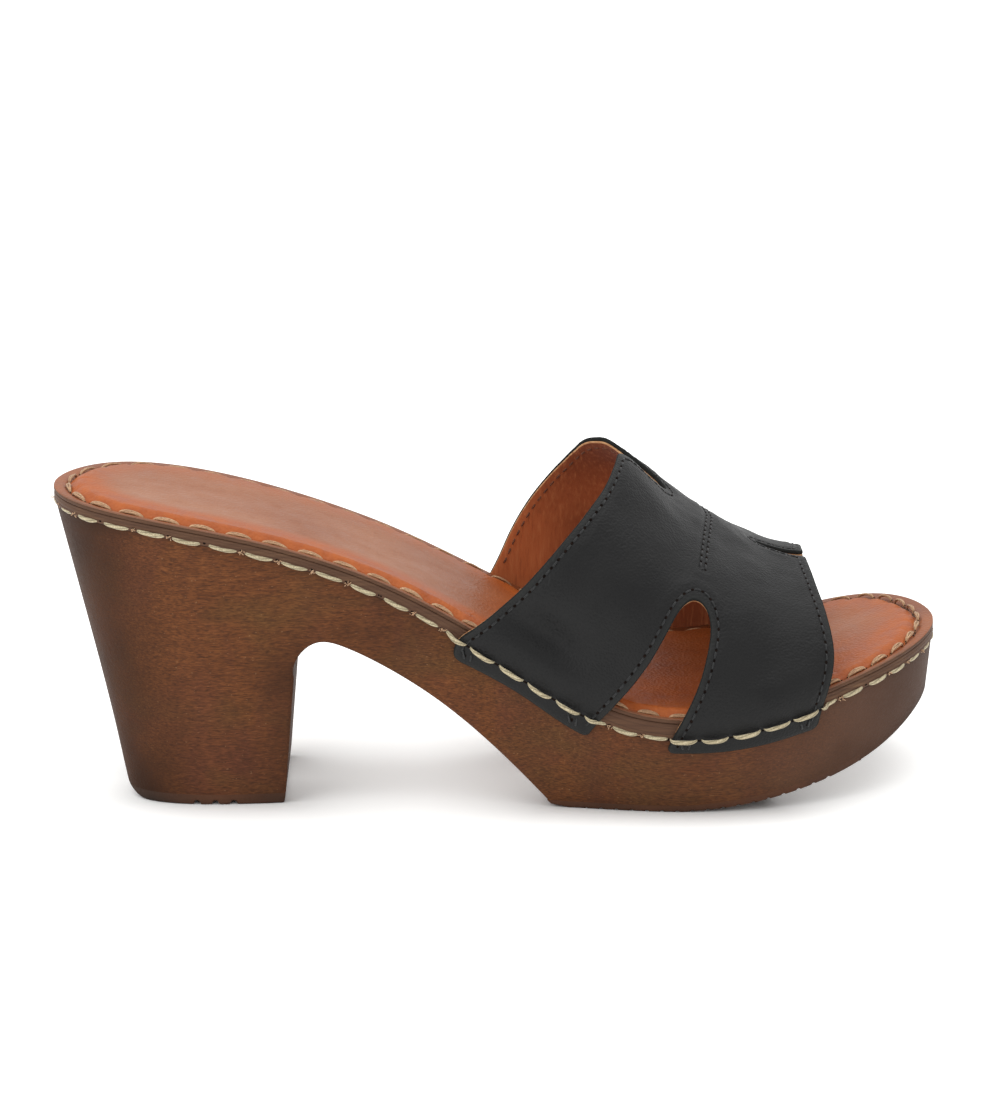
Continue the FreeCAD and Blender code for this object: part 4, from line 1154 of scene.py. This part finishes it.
def upper_edges(inset):
    """The upper's edge lines in (x, v), from the rear round to the cutouts, moved inwards by inset."""
    return (side_line(REAR_EDGE_LATERAL, -1, 0, inset), notch_line(REAR_NOTCH, inset),
            side_line(REAR_EDGE_MEDIAL, 1, 0, inset), side_line(FRONT_EDGE, -1, FRONT_SKEW, -inset),
            notch_line(FRONT_NOTCH, -inset), side_line(FRONT_EDGE, 1, FRONT_SKEW, -inset),
            side_line(CUTOUT_LATERAL, -1, 0, -inset), side_line(CUTOUT_MEDIAL, 1, 0, -inset))


def upper_outline(margin_share):
    """Whole H-shaped outline of the upper in (x, v), going round once."""
    depth = 1 + margin_share
    (rear_lateral, rear_notch, rear_medial, front_lateral, front_notch, front_medial,
     cut_lateral, cut_medial) = upper_edges(0.0)
    chains = [
        rear_lateral, rear_notch, rear_medial[::-1],
        margin_line(1, -20, 28, depth), cut_medial, margin_line(1, 28, 100, depth),
        front_medial, front_notch[::-1], front_lateral[::-1],
        margin_line(-1, 100, 36, depth), cut_lateral[::-1], margin_line(-1, 36, -20, depth),
    ]
    leg_corners = [MARGIN_CORNER_RADIUS] * 4
    radii = ([NEAR_PEAK_RADIUS, FAR_PEAK_RADIUS] + leg_corners + [FRONT_TIP_RADIUS] * 2 + leg_corners)
    return cut_to_loop(chains, radii)


def inside_loop(points, loop):
    """Even-odd test of points against a closed outline."""
    result = np.zeros(len(points), dtype=bool)
    following = np.roll(loop, -1, axis=0)
    for (x0, y0), (x1, y1) in zip(loop, following):
        if y0 == y1:
            continue
        straddles = (points[:, 1] >= min(y0, y1)) & (points[:, 1] < max(y0, y1))
        cross_x = x0 + (points[:, 1] - y0) * (x1 - x0) / (y1 - y0)
        result ^= straddles & (points[:, 0] < cross_x)
    return result


def nearest(points, targets):
    """Distance from each point to the nearest target."""
    result = np.empty(len(points))
    for start in range(0, len(points), 1000):
        block = points[start:start + 1000]
        result[start:start + 1000] = np.sqrt(((block[:, None] - targets[None]) ** 2).sum(2)).min(1)
    return result


def flat_mesh(outline, pitch):
    """Triangles that fill an outline: its points first, then a staggered grid."""
    low, high = outline.min(0), outline.max(0)
    rows = []
    for i, v in enumerate(np.arange(low[1], high[1], pitch * 0.866)):
        row_x = np.arange(low[0] + (i % 2) * pitch / 2, high[0], pitch)
        rows.append(np.column_stack([row_x, np.full(len(row_x), v)]))
    grid = np.vstack(rows)
    grid = grid[inside_loop(grid, outline)]
    grid = grid[nearest(grid, outline) > pitch * 0.55]
    count = len(outline)
    edges = [(i, (i + 1) % count) for i in range(count)]
    result = delaunay_2d_cdt([Vector(p) for p in np.vstack([outline, grid]).tolist()], edges, [], 0, 1e-6)
    flat, triangles = np.array([tuple(v) for v in result[0]]), np.array(result[2])
    return flat, triangles[inside_loop(flat[triangles].mean(1), outline)]


def boundary_edges(triangles):
    """Directed edges that belong to one triangle only."""
    seen = {}
    for a, b, c in triangles:
        for edge in ((a, b), (b, c), (c, a)):
            seen[edge] = True
    return [edge for edge in seen if (edge[1], edge[0]) not in seen]


def rounded_edge(outer, inner, used, edges):
    """Rows of points that round off the cut edge, from the outer to the inner skin, at the used vertices."""
    following, before = dict(edges), {b: a for a, b in edges}
    across = outer[used] - inner[used]
    thickness = np.linalg.norm(across, axis=1)[:, None]
    normal = across / thickness
    tangent = np.array([outer[following.get(v, v)] - outer[before.get(v, v)] for v in used])
    tangent /= np.maximum(np.linalg.norm(tangent, axis=1), 1e-9)[:, None]
    outward = np.cross(tangent, normal)
    middle = (outer[used] + inner[used]) / 2
    return [middle + normal * (thickness / 2 * math.cos(turn)) + outward * (0.3 * thickness * math.sin(turn))
            for turn in np.linspace(0, math.pi, 6)[1:-1]]


def leather_sheet(name, outline, lift_in, lift_out, pitch, materials, node, shape):
    """Bent leather sheet with a rounded cut edge; materials are for the outer skin, the inner skin and the
    edge, and shape(flat, distance from the edge) gives each skin's extra height."""
    flat, triangles = flat_mesh(outline, pitch)
    x, girth = flat[:, 0], to_girth(flat[:, 1])
    common = dents(foot_side(x, girth))
    distance = nearest(flat, outline)
    outside_lift, inside_lift = shape(flat, distance)
    outer = upper_point(x, girth, lift_out + common + outside_lift)
    inner = upper_point(x, girth, lift_in + common + inside_lift)
    a, b, c = triangles.T
    facing = np.cross(outer[b] - outer[a], outer[c] - outer[a]) * upper_normal(x[a], girth[a])
    if facing.sum(1).mean() < 0:
        triangles = triangles[:, ::-1]
    count = len(flat)
    faces = triangles.tolist() + (triangles[:, ::-1] + count).tolist()
    edges = boundary_edges(triangles.tolist())
    used = sorted({i for edge in edges for i in edge})
    edge_rows = rounded_edge(outer, inner, used, edges)
    first = {v: 2 * count + k for k, v in enumerate(used)}
    for edge in edges:
        a, b = [[v] + [first[v] + k * len(used) for k in range(len(edge_rows))] + [v + count] for v in edge]
        faces += [(a[k], a[k + 1], b[k + 1], b[k]) for k in range(len(a) - 1)]
    material = np.full(len(faces), 2)
    material[:2 * len(triangles)] = np.repeat([0, 1], len(triangles))
    piece = make_piece(name, np.vstack([outer, inner] + edge_rows), faces, materials, [node],
                       face_material=material)
    wear = np.zeros(len(piece.data.vertices))
    wear[:count] = 0.8 * np.exp(-distance / 0.9)
    add_shade(piece, wear)
    return piece


def within_girth(line, limit):
    """The part of a line above a girth, both sides alike."""
    return line[np.abs(to_girth(line[:, 1])) < limit]


def join_edge(side_a, notch, side_b, radius_a, radius_b):
    """Rear or front stitch line: up one side, round the notch and down the other side, as one chain."""
    i, j, first = crossing(side_a, notch)
    k, m, second = crossing(notch, side_b)
    up, round_notch, down = side_a[:i + 1], notch[j + 1:k + 1], side_b[m + 1:]
    up = up[np.linalg.norm(up - first, axis=1) > radius_a]
    down = down[np.linalg.norm(down - second, axis=1) > radius_b]
    clear = np.linalg.norm(round_notch - first, axis=1) > radius_a
    clear &= np.linalg.norm(round_notch - second, axis=1) > radius_b
    round_notch = round_notch[clear]
    return [np.vstack([up, corner_arc(up[-1], first, round_notch[0]), round_notch,
                       corner_arc(round_notch[-1], second, down[0]), down])]


MARGIN_END = 1.8
(rear_lateral_row, rear_notch_row, rear_medial_row, front_lateral_row, front_notch_row, front_medial_row,
 cutout_lateral_row, cutout_medial_row) = upper_edges(EDGE_STITCH_INSET)
rear_chains = join_edge(within_girth(rear_lateral_row, MARGIN_END), rear_notch_row,
                        within_girth(rear_medial_row, MARGIN_END)[::-1],
                        0.7 * NEAR_PEAK_RADIUS, FAR_PEAK_RADIUS)
front_chains = join_edge(within_girth(front_lateral_row, MARGIN_END), front_notch_row,
                         within_girth(front_medial_row, MARGIN_END)[::-1], 0.6, 0.6)
cutout_chains = {-1: within_girth(cutout_lateral_row, MARGIN_END),
                 1: within_girth(cutout_medial_row, MARGIN_END)}
INSTEP_ROW_X, INSTEP_ROW_END, INSTEP_ROW_TILT, INSTEP_ROW_SPACING = 59.0, 0.40, -8.0, 1.35
row_girth = np.linspace(-INSTEP_ROW_END, INSTEP_ROW_END, 121)
row_x = INSTEP_ROW_X + INSTEP_ROW_TILT * np.abs(row_girth)
instep_chains = [to_flat(row_x + half * INSTEP_ROW_SPACING, row_girth) for half in (-0.5, 0.5)]
closing_stitches = [np.vstack([row[end] for row in instep_chains]) for end in (0, -1)]
all_stitch_points = np.vstack(rear_chains + front_chains + list(cutout_chains.values()) + instep_chains)


def outer_shape(flat, distance):
    """Rounded edge, a shallow channel under the stitch rows and a slight swell beside them."""
    seam = nearest(flat, all_stitch_points)
    outside = -0.3 * np.exp(-(distance / 0.45) ** 2) - 0.24 * np.exp(-(seam / 0.8) ** 2)
    outside += 0.2 * np.exp(-((seam - 1.7) / 0.8) ** 2)
    return outside, np.zeros(len(flat))


def lining_shape(flat, distance):
    """The lining's edge turns slightly towards the outer leather."""
    return np.zeros(len(flat)), 0.12 * np.exp(-(distance / 0.5) ** 2)


def make_upper():
    """Black outer leather and, a little narrower at the margin, its tan lining."""
    outer = leather_sheet("upper_black_leather", upper_outline(1.0), OUTER_FROM, OUTER_FROM + OUTER_LEATHER,
                          1.15, [BLACK, BLACK, BLACK_RAW], "upper_outer", outer_shape)
    lining = leather_sheet("upper_lining_leather", upper_outline(0.85), 0.0, LINING_LEATHER, 1.3,
                           [LINING, LINING, LINING_RAW], "upper_lining", lining_shape)
    x, y, z = layout_points(lining).T
    # Painted shade on the lining: darker towards the top of the shoe and, lower down, inside between the
    # legs.
    enclosed_painted_shade = window(x, 18, 84, 8) * (1 - smoothstep(z, 60, 74)) * 0.75
    add_shade(lining, smoothstep(z, 58, 88) + enclosed_painted_shade)


# ------------------------------------------------------------------ threads
class Threads:
    """Collects twisted stitches, needle holes and loose fibres into one mesh."""

    def __init__(self):
        self.points, self.faces, self.material, self.strand = [], [], [], []
        self.count = 0

    def add(self, points, faces, material, strand):
        self.points.append(points)
        self.faces += [tuple(i + self.count for i in f) for f in faces]
        self.material += [material] * len(faces)
        self.strand.append(strand)
        self.count += len(points)

    def tube(self, path, up, radius, sides, strands, twist, depth):
        """Twisted tube along a path; up is one direction or one for each point of the path."""
        rows = len(path)
        tangent = unit(np.gradient(path, axis=0))
        side = unit(np.cross(tangent, np.broadcast_to(up, path.shape)))
        up = np.cross(side, tangent)
        around = np.arange(sides) / sides * 2 * math.pi
        twisted = around[None] - twist * chain_lengths(path)[:, None]
        ripple = 1 - depth + depth * np.abs(np.cos(strands / 2 * twisted)) ** 0.7
        size = np.broadcast_to(radius, (rows,))[:, None] * ripple
        ring = (path[:, None] + side[:, None] * (size * np.cos(around))[..., None]
                + up[:, None] * (size * np.sin(around))[..., None])
        points = np.vstack([path[:1], ring.reshape(-1, 3), path[-1:]])
        faces = grid_faces(rows, sides, closed=True, start=1)
        last = 1 + (rows - 1) * sides
        for c in range(sides):
            following = (c + 1) % sides
            faces += [(0, 1 + following, 1 + c), (last + sides, last + c, last + following)]
        # painted shade in the grooves between the strands
        dark = 0.8 * np.clip((-np.cos(strands * twisted) - 0.55) / 0.45, 0, 1)
        self.add(points, faces, 0, np.concatenate([[0], dark.ravel(), [0]]))

    def hole(self, centre, normal, along, width, length):
        """Needle hole as painted shade: a small dark oval patch that lies just proud of the leather, its rim
        sunk in.
        """
        sides = 12
        across = np.cross(normal, along)
        turn = (np.arange(sides) / sides * 2 * math.pi)[:, None]
        oval = along * length * np.cos(turn) + across * width * np.sin(turn)
        points = np.vstack([centre + normal * 0.08, centre + 0.6 * oval + normal * 0.07,
                            centre + oval - normal * 0.12])
        faces = []
        for c in range(sides):
            here, following = 1 + c, 1 + (c + 1) % sides
            faces += [(0, here, following), (here, here + sides, following + sides, following)]
        self.add(points, faces, 1, np.zeros(len(points)))

    def make(self, name, materials, slot, nodes):
        piece = make_piece(name, np.vstack(self.points), self.faces, materials, nodes,
                           face_material=self.material)
        add_shade(piece, np.concatenate(self.strand), "strand")


def fibre_tuft(fuzz, base, outward):
    """Loose leather fibres that stand out of a needle hole."""
    for _ in range(random.randint(7, 12)):
        root = base + np.array([random.uniform(-0.7, 0.7), 0, random.uniform(-0.5, 0.3)])
        lean = np.array([random.uniform(-1, 1), 0, random.uniform(-1, 0.9)]) * random.uniform(0.35, 0.85)
        steps = np.linspace(0, 1, 6)[:, None]
        fibre = root + lean * steps + outward * (0.5 * np.sin(steps * 2.6) - 0.1)
        fuzz.tube(fibre, outward + np.array([0.01, 0.02, 0.03]), 0.09, 5, 2, 0.1, 0.0)


def leg_cover(x, y):
    """1 where one of the upper's four legs lies over the side of the sole."""
    lateral = window(x, -11.7, 26.7) + window(x, 46.0, 87.7)
    medial = window(x, -5.0, 22.2) + window(x, 38.0, 84.5)
    return np.where(y < 0, lateral, medial)


def make_side_stitches():
    """Heavy cream thread along the side of the rim, over the band, the wood and the upper's margin."""
    leather = UPPER_CLEARANCE + OUTER_LEATHER + LINING_LEATHER + 0.1
    line = rim_line(lambda x, y: 0.08 - 0.35 * smoothstep(np.abs(x), 108, 116) + leather * leg_cover(x, y),
                    lambda x: -(COVER_THICKNESS + band_height(x) - 0.7))
    threads, fuzz = Threads(), Threads()
    share = np.linspace(0, 1, 19)
    ends = np.abs(2 * share - 1)
    for start, end in rim_dashes(line, RIM_STITCH_GAP):
        start += random.uniform(-0.5, 0.0)
        end += random.uniform(0.0, 0.5)
        path, out = line.at(start + (end - start) * share)
        path += out * (-0.1 - 0.6 * ends ** 6)[:, None]
        path[:, 2] += -random.uniform(0.2, 0.5) * (1 - ends ** 2) + 0.25 * ends ** 6
        radius = 1.12 * RIM_THREAD_RADIUS * random.uniform(0.9, 1.08) * (1 - 0.68 * ends ** 3)
        threads.tube(path, out, radius, 18, 3, random.uniform(0.85, 1.15) * 0.42, 0.16)
        for distance in (start - 0.45, end + 0.45):
            centre, normal = line.one(distance)
            centre = centre - normal * 0.06 + 0.2 * UP
            threads.hole(centre, normal, unit(path[-1] - path[0]), 0.3, 0.4)
        middle = line.one(end + RIM_STITCH_GAP / 2)[0]
        bare = leg_cover(middle[0], middle[1]) < 0.02
        if bare and random.random() < 0.75:
            fibre_tuft(fuzz, middle, line.one(end)[1])
    threads.make("rim_thread_side", [CREAM, PAINTED_HOLE_SHADE], "cream_thread", ["rim_stitches_side"])
    fuzz.make("rim_fibre_tufts", [FUZZ], "cream_thread", ())


def make_top_stitches():
    """Beige upper thread of the same seam, in two plies, half sunk in the margin's groove."""
    threads = Threads()
    share = np.linspace(0, 1, 21)
    ends = np.abs(2 * share - 1)
    arc = 1 - ends ** 2
    for start, end in rim_dashes(top_line, RIM_STITCH_GAP + 0.5):
        base, out = top_line.at(start + (end - start) * share)
        for ply, extra_arc in ((-1, 0.22), (1, 0.0)):
            sideways = ply * 0.36 * np.sin(share * math.pi) - 0.1
            lift = -0.25 + (0.55 + extra_arc) * arc - 0.9 * ends ** 10
            path = base + out * sideways[:, None] + UP * lift[:, None]
            radius = 0.34 * random.uniform(0.92, 1.08) * (1 - 0.3 * ends ** 6)
            threads.tube(path, UP, radius, 12, 3, random.uniform(0.5, 0.8), 0.14)
        for distance in (start - 0.2, end + 0.2):
            centre = top_line.one(distance)[0] - 0.42 * UP
            threads.hole(centre, UP, unit(base[-1] - base[0]), 0.2, 0.26)
    threads.make("rim_thread_top", [BEIGE, PAINTED_HOLE_SHADE], "beige_thread", ["rim_stitches_top"])


def surface_line(flat_chain, lift, facing):
    """A flat (x, v) chain laid on the upper, lifted off the lining; facing -1 turns its normals inwards."""
    fine = resample(flat_chain, 0.4)
    x, girth = fine[:, 0], to_girth(fine[:, 1])
    points = upper_point(x, girth, lift + dents(foot_side(x, girth)))
    return SeamLine(points, facing * upper_normal(x, girth))


def make_edge_thread(name, chains, lift, facing, material, slot, node):
    """Fine edge stitches along several chains, with needle holes on the outer side."""
    threads = Threads()
    share = np.linspace(0, 1, 9)
    ends = np.abs(2 * share - 1)
    for flat_chain in chains:
        line = surface_line(flat_chain, lift, facing)
        for start, end in line.dashes(EDGE_STITCH_PITCH, EDGE_STITCH_GAP):
            path, up = line.at(start + (end - start) * share)
            path += up * (0.02 - 0.4 * ends ** 4)[:, None]
            threads.tube(path, up, EDGE_THREAD_RADIUS * (1 - 0.3 * ends ** 4), 8, 2, 0.9, 0.16)
            if facing > 0:
                centre, normal = line.one(end + EDGE_STITCH_GAP / 2)
                threads.hole(centre, normal, unit(path[-1] - path[0]), 0.44, 0.5)
    threads.make(name, [material, PAINTED_HOLE_SHADE], slot, [node])


def make_edge_stitches():
    """All the upper's fine seams, and the rear and front rows as they show on the lining."""
    outside = OUTER_FROM + OUTER_LEATHER - 0.10
    black_rows = [
        ("rear_edge_thread", rear_chains, "rear_edge_stitches"),
        ("front_edge_thread", front_chains, "front_edge_stitches"),
        ("cutout_thread_lateral", [cutout_chains[-1]], "cutout_stitches_lateral"),
        ("cutout_thread_medial", [cutout_chains[1]], "cutout_stitches_medial"),
        ("instep_double_thread", instep_chains + closing_stitches, "instep_double_stitches"),
    ]
    for name, chains, node in black_rows:
        make_edge_thread(name, chains, outside, 1, BLACK_THREAD, "black_thread", node)
    for end, chains in (("rear", rear_chains), ("front", front_chains)):
        above_margin = [within_girth(line, 0.97) for line in chains]
        make_edge_thread("lining_thread_" + end, above_margin, 0.0, -1, TAN_THREAD, "tan_thread",
                         "lining_stitches_" + end)


def make_tacks():
    """Back-tacked ends of the edge stitching: small sunk knots at the corners of the margins."""
    threads = Threads()
    count = 9
    ends = np.abs(np.linspace(-1, 1, count))
    lift = OUTER_FROM + OUTER_LEATHER
    for side, places in ((-1, (-7.5, 20.5, 50.5, 82.5)), (1, (0.0, 15.5, 42.5, 79.0))):
        for tack_x in places:
            girth = side * np.linspace(1.86, 1.62, count)
            for strand in (-1, 1):
                x = tack_x + strand * (0.7 + np.linspace(0, 0.5, count))
                normal = upper_normal(x, girth)
                path = upper_point(x, girth, np.full(count, lift))
                path += normal * (0.18 - 0.5 * ends ** 6)[:, None]
                threads.tube(path, normal, EDGE_THREAD_RADIUS * 1.1 * (1 - 0.3 * ends ** 4), 8, 2, 0.9, 0.16)
            middle_x, middle_girth = np.array([tack_x]), np.array([side * 1.74])
            normal = upper_normal(middle_x, middle_girth)[0]
            centre = upper_point(middle_x, middle_girth, np.array([lift]))[0] - normal * 0.05
            threads.hole(centre, normal, np.array([1.0, 0, 0]), 0.8, 0.75)
    threads.make("corner_tack_knots", [BLACK_THREAD, PAINTED_HOLE_SHADE], "black_thread", ["corner_tacks"])


make_sole_block()
make_heel_tip()
make_outsole()
make_band()
make_cover()
make_cushion()
make_upper()
make_side_stitches()
make_top_stitches()
make_edge_stitches()
make_tacks()


# ------------------------------------------------------------------ floor, light and camera
# Painted light: the floor glows by itself, which keeps the shadows pale, and its glow fades near the shoe as
# a painted contact shadow.
PAINTED_FLOOR_GLOW = 0.42  # the floor is a lit white table, which keeps the shadows pale


def make_floor():
    """White floor that glows as painted light, fading to a painted contact shadow round the shoe's footprint.
    """
    fine = np.arange(-200.0, 201.0, 4.0)
    steps = np.concatenate([[-4000, -1500, -500], fine, [500, 1500, 4000]])
    x, y = [grid.ravel() for grid in np.meshgrid(steps, steps)]
    footprint = []
    for start, end in ((HEEL_BACK_X + 4, HEEL_BREAST_X), (ARCH[-1][0], ROCKER[1][0] + 8)):
        stations = np.linspace(start, end, 60)
        sides = np.array([wall_y(station, 0.0) for station in stations])
        footprint.append(np.vstack([np.column_stack([stations, sides[:, 0]]),
                                    np.column_stack([stations, sides[:, 1]])[::-1]]))
    places = np.column_stack([x, y])
    away = np.minimum(*[np.where(inside_loop(places, loop), 0, nearest(places, loop)) for loop in footprint])
    faces = [tuple(reversed(f)) for f in grid_faces(len(steps), len(steps))]
    mesh = bpy.data.meshes.new("floor")
    mesh.from_pydata(to_metres(np.column_stack([x, y, np.zeros(len(x))])).tolist(), [], faces)
    layer = mesh.attributes.new("painted_floor_glow", "FLOAT", "POINT")
    layer.data.foreach_set("value", (PAINTED_FLOOR_GLOW * (1 - np.exp(-away / 15))).astype(np.float32))
    m = Nodes("floor_white")
    paper = m.mix(m.grey(m.noise(3, 2.0), 0.2, 0.8), (0.86, 0.86, 0.85), (0.9, 0.9, 0.89))
    mesh.materials.append(m.finish(paper, 0.9, 0.1))
    m.shader.inputs["Emission Color"].default_value = (1.0, 1.0, 0.99, 1)
    # painted light: the floor's glow, dimmed near the shoe as a painted contact shadow
    m.link(m.attribute("painted_floor_glow"), m.shader.inputs["Emission Strength"])
    floor = bpy.data.objects.new("floor", mesh)
    bpy.context.scene.collection.objects.link(floor)


def area_light(name, place, target, size, power):
    data = bpy.data.lights.new(name, "AREA")
    data.shape = "RECTANGLE"
    data.size, data.size_y = size
    data.energy = power
    light = bpy.data.objects.new(name, data)
    light.location = place
    direction = Vector(target) - Vector(place)
    light.rotation_euler = direction.to_track_quat("-Z", "Y").to_euler()
    bpy.context.scene.collection.objects.link(light)


def make_light():
    """Bright even surroundings with two large soft lights."""
    world = bpy.data.worlds.new("studio")
    world.use_nodes = True
    background = world.node_tree.nodes["Background"]
    background.inputs["Color"].default_value = (1, 1, 1, 1)
    background.inputs["Strength"].default_value = 0.95
    bpy.context.scene.world = world
    area_light("overhead_softbox", (0.0, 0.15, 1.25), (0, 0, 0.03), (1.9, 1.5), 9.5)
    area_light("left_softbox", (-1.0, -0.75, 0.75), (0, 0, 0.05), (0.9, 0.9), 4)


def make_camera():
    """Long lens, a little above the shoe; the aim is set off from the target by two small slopes."""
    distance, elevation, roll = 1.4, math.radians(15.8), math.radians(-0.6)
    lens_mm, sensor_mm, aim_right, aim_up = 164.847, 36, 0.000976, 0.011612
    target = Vector(to_metres([0, 0, 45]).tolist())
    forward = Vector((0, math.cos(elevation), -math.sin(elevation)))
    right = Vector((1, 0, 0))
    up = right.cross(forward)
    turned_right = right * math.cos(roll) + up * math.sin(roll)
    turned_up = up * math.cos(roll) - right * math.sin(roll)
    back = -(forward + turned_right * aim_right + turned_up * aim_up).normalized()
    side = turned_up.cross(back).normalized()
    data = bpy.data.cameras.new("camera")
    data.sensor_width, data.lens = sensor_mm, lens_mm
    data.clip_start, data.clip_end = 0.05, 20
    camera = bpy.data.objects.new("camera", data)
    rotation = Matrix((side, back.cross(side), back)).transposed()
    camera.matrix_world = Matrix.Translation(target - forward * distance) @ rotation.to_4x4()
    bpy.context.scene.collection.objects.link(camera)
    bpy.context.scene.camera = camera


make_floor()
make_light()
make_camera()
bpy.context.scene.view_settings.view_transform = "Standard"
bpy.context.scene.view_settings.look = "None"
